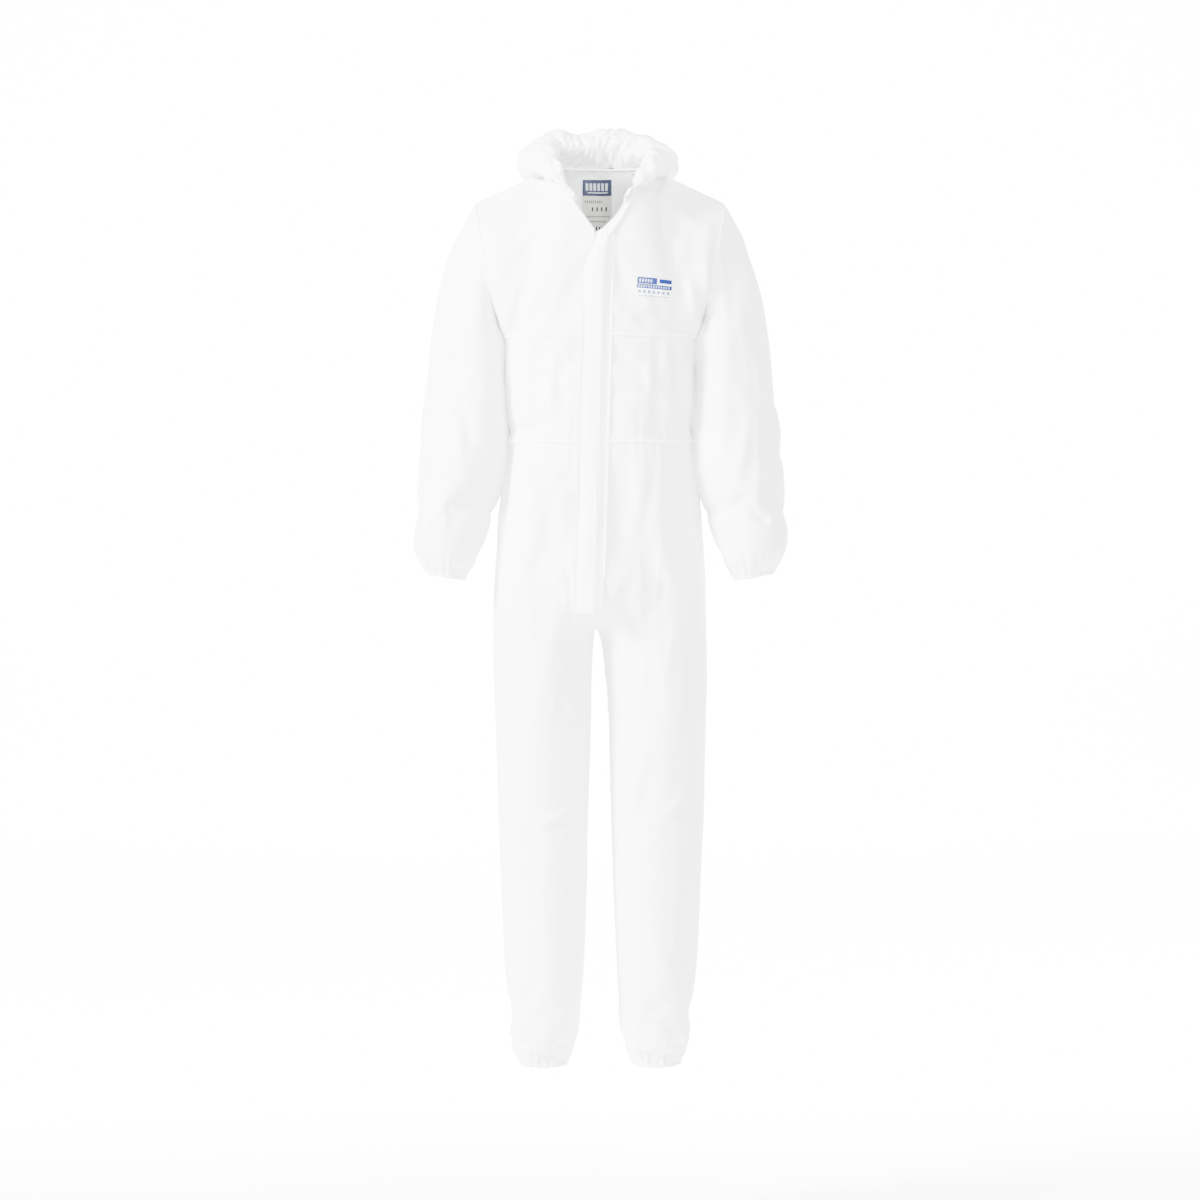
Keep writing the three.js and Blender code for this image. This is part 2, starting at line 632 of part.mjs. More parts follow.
const pullSpan = [pinDrop - 0.5, pinDrop - 0.5 + pullLength];
const pullFace = [pinForward - pullThickness / 2, pinForward + pullThickness / 2];
const pull = solid(closureBox([-pullWidth / 2, pullWidth / 2], pullFace, pullSpan)).subtract(
  solid(closureBox([-1.6, 1.6], [plateTo - 1, plateTo + 4], [pinDrop + 0.5, pinDrop + 7])),
);
add("zip_pull", geometryOf(pull), nylon);

// ---------------------------------------------------------------- zip opened out along the neckline, and its stops
for (const [side, hand] of [[1, "left"], [-1, "right"]]) {
  const openTape = part(facets(`front_chest_${hand}`), 0.03, 0.26, 0.975, 1.05);
  panel(`zip_tape_open_${hand}`, openTape, { facing: side, nu: 6, nv: 1, ...underneath(tapeThickness) });
}

// ---------------------------------------------------------------- storm flap over the zip
const flapStart = vDrop + 3;
const flapLength = flapEndDrop - flapStart;
const flapSeat = 2 * seamGap; // between the flap's sewn edge and the cloth
const flapBulge = (drop) => lerp(11.6, 6.4, smooth(drop, vDrop + 40, vDrop + 110));
function flapPoint(u, v) {
  const drop = flapStart + v * flapLength;
  const rise = smooth(u, 0, 0.36) * (1 - 0.5 * smooth(u, 0.62, 1));
  return closurePoint(lerp(flapSewn, -flapFree, u), flapSeat + rise * flapBulge(drop), drop);
}
panel("storm_flap", flapPoint, { facing: 1, nu: 8, nv: 16, raise: flapThickness, thick: flapThickness, sewn: false });
add(
  "flap_seam",
  closureBox([flapSewn + 0.3, flapSewn + 5], [flapSeat, flapSeat + seamRise], [flapStart, hipDrop]),
  nonwoven,
);
const adhesiveStrip = part(facets("storm_flap"), 0.76, 0.96, 1 / 16, 15 / 16);
panel("flap_adhesive", adhesiveStrip, { facing: 1, nu: 3, nv: 14, raise: -0.4, thick: 0.4, sewn: false });
const openFlap = part(onChest, 0, 2 / 8, 0.985, 1.12);
panel("storm_flap_open", openFlap, { facing: 1, nu: 4, nv: 2, ...onTop(flapThickness) });

const materials = [
  [/elastic$/, rubberElastic],
  [/^neck_label/, labelCloth],
  [/^chest_label/, labelFilm],
  [/adhesive/, adhesive],
  [/^zip_tape/, tapeCloth],
];
for (const piece of panels) {
  const known = materials.find(([pattern]) => pattern.test(piece.name));
  add(piece.name, shell(piece), known ? known[1] : nonwoven);
}

export default suit;
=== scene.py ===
# %% [markdown]
# # A disposable protective suit, in Blender
# The suit is a one-piece coverall of thin white nonwoven cloth: a zip under a storm flap, a hood pushed back off the
# head, and elastic at the waist, cuffs and ankles. It is cut flat and sewn, and it hangs as if a body form filled it.
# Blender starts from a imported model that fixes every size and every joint, and adds the real cloth, folds and stitches.

# %% Load the frame
import math

import bpy
import numpy as np
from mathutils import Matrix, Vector, noise
from mathutils.bvhtree import BVHTree


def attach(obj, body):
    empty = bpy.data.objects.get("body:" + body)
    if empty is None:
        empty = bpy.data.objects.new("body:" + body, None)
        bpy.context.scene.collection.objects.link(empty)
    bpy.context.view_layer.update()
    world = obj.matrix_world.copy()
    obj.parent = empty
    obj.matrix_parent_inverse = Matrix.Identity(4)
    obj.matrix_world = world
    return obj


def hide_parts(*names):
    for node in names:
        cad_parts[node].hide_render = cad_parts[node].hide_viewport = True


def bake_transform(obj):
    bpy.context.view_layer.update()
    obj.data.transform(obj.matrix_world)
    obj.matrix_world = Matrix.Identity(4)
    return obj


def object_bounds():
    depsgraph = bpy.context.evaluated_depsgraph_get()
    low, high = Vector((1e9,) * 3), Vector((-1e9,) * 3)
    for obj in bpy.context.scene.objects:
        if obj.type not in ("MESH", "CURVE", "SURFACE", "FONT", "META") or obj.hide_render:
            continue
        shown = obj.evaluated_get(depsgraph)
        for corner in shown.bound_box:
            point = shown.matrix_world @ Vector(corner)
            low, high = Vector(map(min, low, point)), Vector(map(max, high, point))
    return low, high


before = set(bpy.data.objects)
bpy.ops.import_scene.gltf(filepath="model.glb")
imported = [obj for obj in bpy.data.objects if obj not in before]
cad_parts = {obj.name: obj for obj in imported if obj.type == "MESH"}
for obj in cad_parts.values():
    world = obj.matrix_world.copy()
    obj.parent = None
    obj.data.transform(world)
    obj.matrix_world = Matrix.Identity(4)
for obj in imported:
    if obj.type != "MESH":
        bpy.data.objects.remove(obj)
cad_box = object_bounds()
scene = bpy.context.scene
MM = 0.001
print("model box", [[round(c, 3) for c in corner] for corner in cad_box])

# %% [markdown]
# ## Camera, floor and light
# A garment is shown straight on with a long lens, so that the sleeves and legs keep their true proportions. The light
# is broad and comes mostly from the upper left. White cloth on a white ground only reads by its soft shading, so the
# fill on the other side is weaker.

# %% Camera
LENS_DISTANCE = 6.0
VIEW_HEIGHT = 2.04
view_middle = Vector((0, 0, -0.731))
camera_data = bpy.data.cameras.new("camera")
camera_data.sensor_width = 36
camera_data.lens = 36 * LENS_DISTANCE / VIEW_HEIGHT
camera = bpy.data.objects.new("camera", camera_data)
camera_rise = math.radians(2.0)
camera.location = view_middle + LENS_DISTANCE * Vector((0, -math.cos(camera_rise), math.sin(camera_rise)))
camera.rotation_euler = (math.pi / 2 - camera_rise, 0, 0)
scene.collection.objects.link(camera)
scene.camera = camera
print("lens", round(camera_data.lens, 1), "mm")


# %% Lights
def soft_light(name, place, size, power, tint=(1, 1, 1)):
    data = bpy.data.lights.new(name, "AREA")
    data.shape = "DISK"
    data.size = size
    data.energy = power
    data.color = tint
    lamp = bpy.data.objects.new(name, data)
    lamp.location = place
    lamp.rotation_euler = (view_middle - Vector(place)).to_track_quat("-Z", "Y").to_euler()
    scene.collection.objects.link(lamp)


soft_light("key_upper_left", (-4.2, -2.5, 1.6), 1.5, 2150)
soft_light("fill_front", (0.8, -4.6, 0.0), 3.0, 400, (0.97, 0.98, 1))
soft_light("above", (0.5, -1.4, 2.6), 1.2, 230)
soft_light("back_right", (3.4, 3.0, 1.6), 2.0, 420)
world = bpy.data.worlds.new("studio")
world.use_nodes = True
world.node_tree.nodes["Background"].inputs["Color"].default_value = (0.93, 0.96, 1, 1)
world.node_tree.nodes["Background"].inputs["Strength"].default_value = 1.4
scene.world = world

# %% [markdown]
# ## Shader maths in Python
# A material is a graph of nodes. Written as Python expressions it stays readable: `Val` wraps one socket, and adding or
# multiplying two of them adds the Math node that does it.


# %% A small language for materials
class Val:
    def __init__(self, graph, socket):
        self.graph, self.socket = graph, socket

    def _math(self, operation, *values):
        return self.graph.node("ShaderNodeMath", {"operation": operation}, *values)

    def __add__(self, other):
        return self._math("ADD", self, other)

    def __sub__(self, other):
        return self._math("SUBTRACT", self, other)

    def __rsub__(self, other):
        return self._math("SUBTRACT", other, self)

    def __mul__(self, other):
        return self._math("MULTIPLY", self, other)

    __radd__ = __add__
    __rmul__ = __mul__

    def sin(self):
        return self._math("SINE", self)

    def fraction(self):
        return self._math("FRACT", self)

    def above(self, low, high):
        settings = {"interpolation_type": "SMOOTHSTEP"}
        return self.graph.node("ShaderNodeMapRange", settings, **{"Value": self, "From Min": low, "From Max": high})


class Graph:
    def __init__(self, name):
        self.material = bpy.data.materials.new(name)
        self.material.use_nodes = True
        self.tree = self.material.node_tree
        self.shader = self.tree.nodes["Principled BSDF"]

    def put(self, socket, value):
        if isinstance(value, Val):
            self.tree.links.new(value.socket, socket)
        else:
            socket.default_value = value

    def node(self, kind, settings=None, *values, out=0, **named):
        node = self.tree.nodes.new(kind)
        for key, value in (settings or {}).items():
            if key == "stops":
                for stop, (place, color) in zip(node.color_ramp.elements, value):
                    stop.position, stop.color = place, color
            else:
                setattr(node, key, value)
        for socket, value in zip(node.inputs, values):
            self.put(socket, value)
        for key, value in named.items():
            self.put(node.inputs[key], value)
        return Val(self, node.outputs[out])

    def uv(self):
        return self.node("ShaderNodeUVMap", {"uv_map": "cloth"})

    def place(self):
        return self.node("ShaderNodeTexCoord", out="Object")

    def split(self, vector):
        parts = self.node("ShaderNodeSeparateXYZ", None, vector)
        return [Val(self, output) for output in parts.socket.node.outputs]

    def noise(self, vector, scale, detail=3.0, rough=0.5):
        named = {"Vector": vector, "Scale": scale, "Detail": detail, "Roughness": rough}
        return self.node("ShaderNodeTexNoise", None, **named)

    def mix(self, factor, a, b):
        node = self.node("ShaderNodeMix", {"data_type": "RGBA"}).socket.node
        for index, value in ((0, factor), (6, a), (7, b)):
            self.put(node.inputs[index], value)
        return Val(self, node.outputs[2])

    def bump(self, height, strength, distance):
        named = {"Height": height, "Strength": strength, "Distance": distance}
        return self.node("ShaderNodeBump", None, **named)

    def finish(self, color, rough, normal=None, **constants):
        self.put(self.shader.inputs["Base Color"], color)
        self.put(self.shader.inputs["Roughness"], rough)
        if normal is not None:
            self.put(self.shader.inputs["Normal"], normal)
        for key, value in constants.items():
            self.shader.inputs[key.replace("_", " ")].default_value = value
        return self.material


# %% [markdown]
# ## Floor
# The suit hangs from a form, so the floor lies well below its ankles. Far behind the suit it bends up into a wall. The
# middle of both glows like a lit cloth, so the ground is white, and the glow is kept narrow so that it can't wash out
# the shading of the suit.

# %% Floor
FLOOR = cad_box[0][2] - 0.30
FLOOR_FRONT, BEND, BEND_RADIUS, WALL_HEIGHT, PAPER_HALF = -5.5, 7.6, 1.4, 7.0, 9.0


def backdrop():
    """Floor and wall in one sheet, joined by a quarter round."""
    turns = np.linspace(0, math.pi / 2, 13)
    arc = [(BEND + BEND_RADIUS * math.sin(turn), BEND_RADIUS * (1 - math.cos(turn))) for turn in turns]
    section = [(FLOOR_FRONT, 0.0), *arc, (BEND + BEND_RADIUS, WALL_HEIGHT)]
    verts = [(x, y, FLOOR + z) for y, z in section for x in (-PAPER_HALF, PAPER_HALF)]
    faces = [(2 * i, 2 * i + 1, 2 * i + 3, 2 * i + 2) for i in range(len(section) - 1)]
    mesh = bpy.data.meshes.new("backdrop")
    mesh.from_pydata(verts, [], faces)
    mesh.polygons.foreach_set("use_smooth", [True] * len(faces))
    sheet = bpy.data.objects.new("backdrop", mesh)
    paper = Graph("studio_paper")
    grain = paper.noise(paper.place(), 60.0)
    across, depth, up = paper.split(paper.place())
    lit = depth.above(-0.6, 1.6) * (1 - (across * across).above(6.5, 12.0)) * (1 - up.above(1.9, 2.8))
    glow = paper.mix(lit, (0.10, 0.10, 0.10, 1), (1, 1, 1, 1))
    paper.put(paper.shader.inputs["Emission Color"], glow)
    white = paper.mix(grain, (0.93, 0.93, 0.935, 1), (0.96, 0.96, 0.96, 1))
    mesh.materials.append(paper.finish(white, 0.9, Emission_Strength=11.0))
    scene.collection.objects.link(sheet)


backdrop()

# %% [markdown]
# ## The surfaces of the suit
# The cloth panels lie on simple surfaces: a rounded trunk, a yoke over the shoulders, a tube for each sleeve and leg,
# and a saddle between the legs. Each surface is a function of two numbers that returns points, in millimetres from the
# neck seam. `drop` is the height below that seam. Grids of such points become panels whose edges meet exactly.


# %% Curves through stations
def clamp01(t):
    return np.clip(t, 0.0, 1.0)


def smooth(x, low, high):
    t = clamp01((np.asarray(x, float) - low) / (high - low))
    return t * t * (3 - 2 * t)


def lerp(a, b, t):
    return a + (b - a) * t


def through(stations):
    """A smooth curve through [place, value, ...] rows, as a function of the place."""
    rows = np.array(stations, float)
    places, values = rows[:, 0], rows[:, 1:]
    order = np.arange(len(rows))
    before, after = np.maximum(order - 1, 0), np.minimum(order + 1, len(rows) - 1)
    slopes = (values[after] - values[before]) / (places[after] - places[before])[:, None]

    def at(x):
        x = np.clip(np.asarray(x, float), places[0], places[-1])
        i = np.clip(np.searchsorted(places, x, side="left") - 1, 0, len(rows) - 2)
        h = (places[i + 1] - places[i])[..., None]
        t = (x - places[i])[..., None] / h
        t2, t3 = t * t, t * t * t
        start, end = (2 * t3 - 3 * t2 + 1) * values[i], (3 * t2 - 2 * t3) * values[i + 1]
        point = start + (t3 - 2 * t2 + t) * h * slopes[i] + end + (t3 - t2) * h * slopes[i + 1]
        return point[..., 0] if values.shape[1] == 1 else point

    return at


def xyz(x, y, z):
    return np.stack(np.broadcast_arrays(*(np.asarray(c, float) for c in (x, y, z))), axis=-1)


# %% Trunk
CHEST, WAIST, HIP, CROTCH, ANKLE = 284.0, 462.0, 690.0, 776.0, 1522.0
V_DROP, SHOULDER_DROP, NECK_HALF, NECK_DEEP, SHOULDER_HALF = 112.0, 57.0, 90.0, 62.0, 211.0
FRONT, FRONT_LEAN, ZIP_EDGE, ZIP_END, FLAP_END = 108.0, 0.024, 9.0, 640.0, 748.0
BOXY = 2.35
half_width = through([[CHEST, 162], [373, 159], [WAIST, 156], [532, lerp(156, 178, 0.55)], [HIP, 178]])
back_depth = through([[CHEST, 104], [WAIST, 92], [582, lerp(92, 124, 0.85)], [HIP, 124]])


def closure(drop):
    return -18.0 * (drop - V_DROP) / (FLAP_END - V_DROP)


def front_depth(drop):
    return FRONT + FRONT_LEAN * (drop - V_DROP)


def signed_power(x, power):
    return np.sign(x) * np.abs(x) ** power


def side_point(side, k, drop):
    """One side of the trunk: k runs from the front edge (0) by the side (0.5) to the middle of the back (1)."""
    edge = lerp(ZIP_EDGE, 0.0, smooth(drop, ZIP_END + 4, HIP))
    start = np.arcsin(signed_power((side * closure(drop) + edge) / half_width(drop), BOXY / 2))
    turn = np.where(k < 0.5, lerp(start, math.pi / 2, 2 * k), lerp(math.pi / 2, math.pi, 2 * k - 1))
    depth = np.where(np.cos(turn) > 0, front_depth(drop), back_depth(drop))
    x = half_width(drop) * signed_power(np.sin(turn), 2 / BOXY)
    return xyz(side * x, -depth * signed_power(np.cos(turn), 2 / BOXY), -drop)


# %% Yoke: the chest and back up to the shoulder and the neckline
shoulder_rows = [
    [0.7, lerp(NECK_HALF, SHOULDER_HALF, 0.37), 7, -SHOULDER_DROP * 0.36],
    [0.86, lerp(NECK_HALF, SHOULDER_HALF, 0.72), 9, -SHOULDER_DROP * 0.7],
    [1, SHOULDER_HALF, 10, -SHOULDER_DROP],
]
front_neckline = through([
    [0, ZIP_EDGE, -FRONT, -V_DROP],
    [0.14, NECK_HALF * 0.36, -FRONT * 0.95, -V_DROP * 0.7],
    [0.28, NECK_HALF * 0.62, -FRONT * 0.78, -V_DROP * 0.36],
    [0.4, NECK_HALF * 0.88, -FRONT * 0.42, -V_DROP * 0.09],
    [0.5, NECK_HALF, 5, 0],
])
back_neckline = through([
    [0, 0, NECK_DEEP, 0],
    [0.2, NECK_HALF * 0.5, NECK_DEEP * 0.86, 0],
    [0.38, NECK_HALF * 0.88, NECK_DEEP * 0.48, 0],
    [0.5, NECK_HALF, 5, 0],
])
shoulder_line = through([[0.5, NECK_HALF, 5, 0], *shoulder_rows])
ARMHOLE = 86.0
YOKE = CHEST - SHOULDER_DROP


def bezier(a, b, c, d, t):
    t = t[..., None]
    return (1 - t) ** 3 * a + 3 * (1 - t) ** 2 * t * b + 3 * (1 - t) * t * t * c + t**3 * d


def chest_point(side, front, s, t):
    """Half of the front (1) or back (-1) of the yoke: s from the middle to the armhole, t from the chest seam up."""
    s, t = np.broadcast_arrays(np.asarray(s, float), np.asarray(t, float))
    low = side_point(side, s / 2 if front > 0 else 1 - s / 2, np.full(s.shape, CHEST))
    low[..., 0] *= side
    neckline = front_neckline(s) if front > 0 else back_neckline(s)
    high = np.where((s < 0.5)[..., None], neckline, shoulder_line(s))
    out, over = smooth(s, 0.45, 1), smooth(s, 0.1, 0.55)
    leave = low + xyz(lerp(0, 22, out), -front * lerp(1, ARMHOLE, out), lerp(0.33, 0.24, out) * YOKE)
    rise = -front * lerp(2 if front > 0 else 16, ARMHOLE, over)
    arrive = high + xyz(lerp(0, -6, out), rise, -lerp(0.25, 0.2, over) * YOKE)
    point = bezier(low, leave, arrive, high, t)
    point[..., 0] *= side
    return point


# %% Sleeves
sleeve_inside = through([[0, 162], [0.2, 167], [0.62, 169], [0.8, 185], [0.93, 207], [1, 228]])
sleeve_outside = through([[0, 260], [0.2, 281], [0.42, 298], [0.62, 311], [0.8, 317], [0.93, 316], [1, 290]])
SLEEVE_TOP, SLEEVE_END = 170.0, 688.0
SLEEVE_LEAN = 16.0


def sleeve_point(side, k, v):
    """k once round from the shoulder down the front to the armpit and up the back, v from the armhole to the cuff."""
    k, v = np.broadcast_arrays(np.asarray(k, float) % 1.0, np.asarray(v, float))
    front = chest_point(side, 1, np.ones(k.shape), 1 - 2 * k)
    back = chest_point(side, -1, np.ones(k.shape), 2 * k - 1)
    armhole = np.where((k < 0.5)[..., None], front, back)
    turn = 2 * math.pi * k
    inside = sleeve_inside(v) - SLEEVE_LEAN * smooth(v, 0.04, 0.2) * (1 - smooth(v, 0.58, 0.78))
    wide = (sleeve_outside(v) - inside) / 2
    tilt = 0.16 + 0.75 * (1 - smooth(v, 0, 0.42))
    ring = xyz(
        side * (inside + wide * (1 + np.cos(turn))),
        6 - 46 * smooth(v, 0.25, 1.1) - wide * 1.02 * np.sin(turn),
        -lerp(SLEEVE_TOP, SLEEVE_END, v) + tilt * wide * np.cos(turn),
    )
    share = (1 - (1 - np.minimum(v / 0.2, 1)) ** 2)[..., None]
    return lerp(armhole, ring, share)


# %% Legs
THIGH = CROTCH + 30
CROTCH_ASIDE = -7.0
leg_middle = through([[0, 98], [0.3, 99], [0.6, 98], [1, 96]])
leg_half = through([[0, 82], [0.2, 80], [0.45, 76], [0.7, 70], [0.86, 64], [0.95, 56], [1, 41]])
leg_deep = through([[0, 94], [0.2, 92], [0.45, 83], [0.7, 78], [0.86, 71], [0.95, 62], [1, 41 * 1.15]])


def near_inseam(k):
    return 1 - smooth(np.minimum(k, 1 - k), 0, 0.22)


def leg_point(side, k, v):
    """k once round from the inseam over the front, the outside and the back, v from the thigh to the ankle."""
    k, v = np.broadcast_arrays(np.asarray(k, float), np.asarray(v, float))
    turn = 2 * math.pi * k
    x = side * (leg_middle(v) - leg_half(v) * np.cos(turn))
    point = xyz(x, 4 + 10 * v - leg_deep(v) * np.sin(turn), -lerp(THIGH, ANKLE, v))
    share = near_inseam(k) ** 2 * (1 - smooth(v, 0, 0.12))
    return lerp(point, np.array([CROTCH_ASIDE, 4, -CROTCH]), share[..., None])


def crotch_point(side, k, v):
    k, v = np.broadcast_arrays(np.asarray(k, float), np.asarray(v, float))
    low, high = leg_point(side, k, np.zeros(k.shape)), side_point(side, k, np.full(k.shape, HIP))
    front, inner, fall = np.where(k < 0.5, 1, -1), near_inseam(k), (THIGH - HIP) / 3
    leave = high + xyz(0, -front * fall * FRONT_LEAN, -lerp(fall, 70, inner))
    arrive = low + xyz(0, -front * 50 * inner, lerp(fall, -4, inner))
    return bezier(high, leave, arrive, low, v)


print("surfaces ready")

# %% [markdown]
# ## One garment mesh
# A suit is one skin of cloth, so it starts as one mesh. Each panel is laid as a grid of quads about 8 mm across, and
# points that coincide along a seam are welded. Every face remembers its panel, so the finished cloth can be cut again
# at its seams. Two masks go with the points: `pin` holds cloth where it is sewn to something firm, and `loose` says
# where there is more cloth than room, as beside elastic.

# %% Panels on grids
ACROSS = 64
HALF = ACROSS // 2
panel_names = []


class Garment:
    def __init__(self):
        self.points, self.quads, self.panel, self.uv, self.pin, self.loose = [], [], [], [], [], []
        self.count = 0

    def lay(self, name, grid, facing, pin, loose):
        """Adds a grid of points, columns x rows x 3, in millimetres; facing 1 keeps its winding and -1 turns it."""
        columns, rows = grid.shape[:2]
        index = self.count + np.arange(columns * rows).reshape(columns, rows)
        corners = [index[:-1, :-1], index[1:, :-1], index[1:, 1:], index[:-1, 1:]]
        across = np.linalg.norm(np.diff(grid, axis=0), axis=2).mean() * np.arange(columns)
        along = np.linalg.norm(np.diff(grid, axis=1), axis=2).mean() * np.arange(rows)
        flat = np.stack(np.meshgrid(across, along, indexing="ij"), axis=-1) * MM
        flat_corners = [flat[:-1, :-1], flat[1:, :-1], flat[1:, 1:], flat[:-1, 1:]]
        if facing < 0:
            corners, flat_corners = corners[::-1], flat_corners[::-1]
        self.quads.append(np.stack(corners, axis=-1).reshape(-1, 4))
        self.uv.append(np.stack(flat_corners, axis=2).reshape(-1, 4, 2))
        self.points.append(grid.reshape(-1, 3) * MM)
        self.pin.append(np.broadcast_to(pin, grid.shape[:2]).ravel())
        self.loose.append(np.broadcast_to(loose, grid.shape[:2]).ravel())
        if name not in panel_names:
            panel_names.append(name)
        self.panel.append(np.full(len(self.quads[-1]), panel_names.index(name)))
        self.count += columns * rows

    def welded(self, name, near=0.00005):
        """The object of all the panels, with coincident points made one."""
        points = np.concatenate(self.points)
        keys = np.round(points / near + 0.1234).astype(np.int64)
        _, first, inverse = np.unique(keys, axis=0, return_index=True, return_inverse=True)
        inverse = inverse.ravel()
        masks = []
        for mask in (self.pin, self.loose):
            merged = np.zeros(len(first))
            np.maximum.at(merged, inverse, np.concatenate(mask))
            masks.append(merged)
        quads = inverse[np.concatenate(self.quads)]
        made = quad_mesh(name, points[first], quads, np.concatenate(self.uv))
        face_panel = made.data.attributes.new("panel", "INT", "FACE")
        face_panel.data.foreach_set("value", np.concatenate(self.panel).astype(np.int32))
        for key, mask in zip(("pin", "loose"), masks):
            group = made.vertex_groups.new(name=key)
            for weight in np.unique(np.round(mask, 2)):
                members = np.nonzero(np.round(mask, 2) == weight)[0]
                group.add(members.tolist(), float(weight), "REPLACE")
        print(name, len(first), "points", len(quads), "quads")
        return made


def quad_mesh(name, points, quads, uv=None, normals=None):
    """An object at the origin with these points and four-sided faces."""
    mesh = bpy.data.meshes.new(name)
    mesh.vertices.add(len(points))
    mesh.vertices.foreach_set("co", np.asarray(points, np.float32).ravel())
    mesh.loops.add(quads.size)
    mesh.loops.foreach_set("vertex_index", quads.astype(np.int32).ravel())
    mesh.polygons.add(len(quads))
    mesh.polygons.foreach_set("loop_start", np.arange(len(quads), dtype=np.int32) * 4)
    mesh.polygons.foreach_set("use_smooth", np.ones(len(quads), bool))
    mesh.update(calc_edges=True)
    if uv is not None:
        mesh.uv_layers.new(name="cloth").data.foreach_set("uv", np.asarray(uv, np.float32).ravel())
    if normals is not None:
        mesh.normals_split_custom_set(normals.reshape(-1, 3))
    made = bpy.data.objects.new(name, mesh)
    scene.collection.objects.link(made)
    return made


# %% Lay the suit
suit = Garment()
SEAM_TOP = 0.15
ELBOW_TOP = 0.37


def bell(x, middle, wide):
    return np.exp(-(((x - middle) / wide) ** 2))


for side, hand in ((1, "left"), (-1, "right")):
    s, t = np.meshgrid(np.linspace(0, 1, HALF + 1), np.linspace(0, 1, HALF + 1), indexing="ij")
    armhole = 0.45 * smooth(s, 0.9, 1)
    for front, word in ((1, "chest_front"), (-1, "chest_back")):
        edge = (t == 1) * np.where(s <= 0.5, 1.0, 0.75) + (front > 0) * (s == 0)
        pin = np.clip(edge + armhole + 0.03, 0, 1)
        suit.lay(f"{word}_{hand}", chest_point(side, front, s, t), side * front, pin, 0.05)

    k, drop = np.meshgrid(np.linspace(0, 1, ACROSS + 1), np.linspace(CHEST, WAIST, 25), indexing="ij")
    pin = np.clip((k == 0) * 1.0 + (drop == WAIST) * 1.0 + 0.3 * (drop == CHEST) + 0.015, 0, 1)
    suit.lay(f"midriff_{hand}", side_point(side, k, drop), -side, pin, 0.12 + 0.8 * bell(drop, WAIST, 26))

    k, drop = np.meshgrid(np.linspace(0, 1, ACROSS + 1), np.linspace(WAIST, HIP, 31), indexing="ij")
    pin = np.clip((k == 0) * 1.0 + (drop == WAIST) * 1.0 + 0.015, 0, 1)
    suit.lay(f"seat_{hand}", side_point(side, k, drop), -side, pin, 0.08 + 0.8 * bell(drop, WAIST, 26))

    k, v = np.meshgrid(np.linspace(0, 1, ACROSS + 1), np.linspace(0, 1, 15), indexing="ij")
    suit.lay(f"seat_{hand}", crotch_point(side, k, v), -side, 0.03 + 0.4 * near_inseam(k) ** 4, 0.06)
    for name, start, end, rows in ((f"seat_{hand}", 0, SEAM_TOP, 15), (f"leg_{hand}", SEAM_TOP, 1, 78)):
        k, v = np.meshgrid(np.linspace(0, 1, ACROSS + 1), np.linspace(start, end, rows), indexing="ij")
        loose = 0.1 + 0.3 * bell(v, 0.42, 0.09) + 0.12 * bell(v, 0.86, 0.06) + 0.15 * smooth(v, 0.94, 0.985)
        suit.lay(name, leg_point(side, k, v), -side, np.where(v == 1, 1.0, 0.02), loose)
    for name, start, end, rows in ((f"arm_{hand}", 0, ELBOW_TOP, 26), (f"forearm_{hand}", ELBOW_TOP, 1, 44)):
        k, v = np.meshgrid(np.linspace(0, 1, ACROSS + 1), np.linspace(start, end, rows), indexing="ij")
        loose = 0.05 + 0.25 * bell(v, 0.5, 0.1) + 0.1 * smooth(v, 0.94, 0.985)
        pin = np.where(v == 1, 1.0, 0.02 + 0.43 * (v == 0))
        suit.lay(name, sleeve_point(side, k, v), side, pin, loose)
skin = suit.welded("suit_cloth")
bpy.context.view_layer.update()

# %% [markdown]
# ## Let the cloth settle
# Blender's cloth solver gives folds that no formula would. Negative shrinking makes every thread a little longer than
# the form is big, most of all in the `loose` zones, so the cloth has to buckle. The `pin` group holds the seams firmly
# and everything else very weakly, which stands for the body form. No point may end further off than a set cap.


# %% Cloth settling
def settle(sheet, frames, cap, base, most, stiffness=12.0, bending=0.6, gravity=0.12):
    before = np.array([v.co for v in sheet.data.vertices])
    cloth = sheet.modifiers.new("settle", "CLOTH")
    rules = cloth.settings
    rules.quality = 6
    rules.mass = 0.1
    rules.tension_stiffness = rules.compression_stiffness = stiffness
    rules.shear_stiffness = stiffness / 2
    rules.bending_stiffness = bending
    rules.tension_damping = rules.compression_damping = 8
    rules.air_damping = 3
    rules.vertex_group_mass = "pin"
    rules.pin_stiffness = 1.0
    rules.vertex_group_shrink = "loose"
    rules.shrink_min, rules.shrink_max = -base, -most
    rules.effector_weights.gravity = gravity
    cloth.collision_settings.use_collision = False
    cloth.point_cache.frame_start, cloth.point_cache.frame_end = 1, frames
    for frame_number in range(1, frames + 1):
        scene.frame_set(frame_number)
    evaluated = sheet.evaluated_get(bpy.context.evaluated_depsgraph_get())
    after = np.array([v.co for v in evaluated.data.vertices])
    sheet.modifiers.remove(cloth)
    scene.frame_set(1)
    move = after - before
    length = np.linalg.norm(move, axis=1, keepdims=True)
    capped = cap * np.tanh(length / cap) / np.maximum(length, 1e-9)
    sheet.data.vertices.foreach_set("co", (before + move * capped).astype(np.float32).ravel())
    sheet.data.update()
    usual, furthest = float(length.mean()) / MM, float(length.max()) / MM
    print(sheet.name, "moved", round(usual, 2), "mm on average,", round(furthest, 1), "mm at most")


SKIN_FRAMES, SKIN_CAP, SKIN_SLACK, SKIN_SLACK_AT_ELASTIC = 22, 0.012, 0.012, 0.10
settle(skin, SKIN_FRAMES, SKIN_CAP, SKIN_SLACK, SKIN_SLACK_AT_ELASTIC)


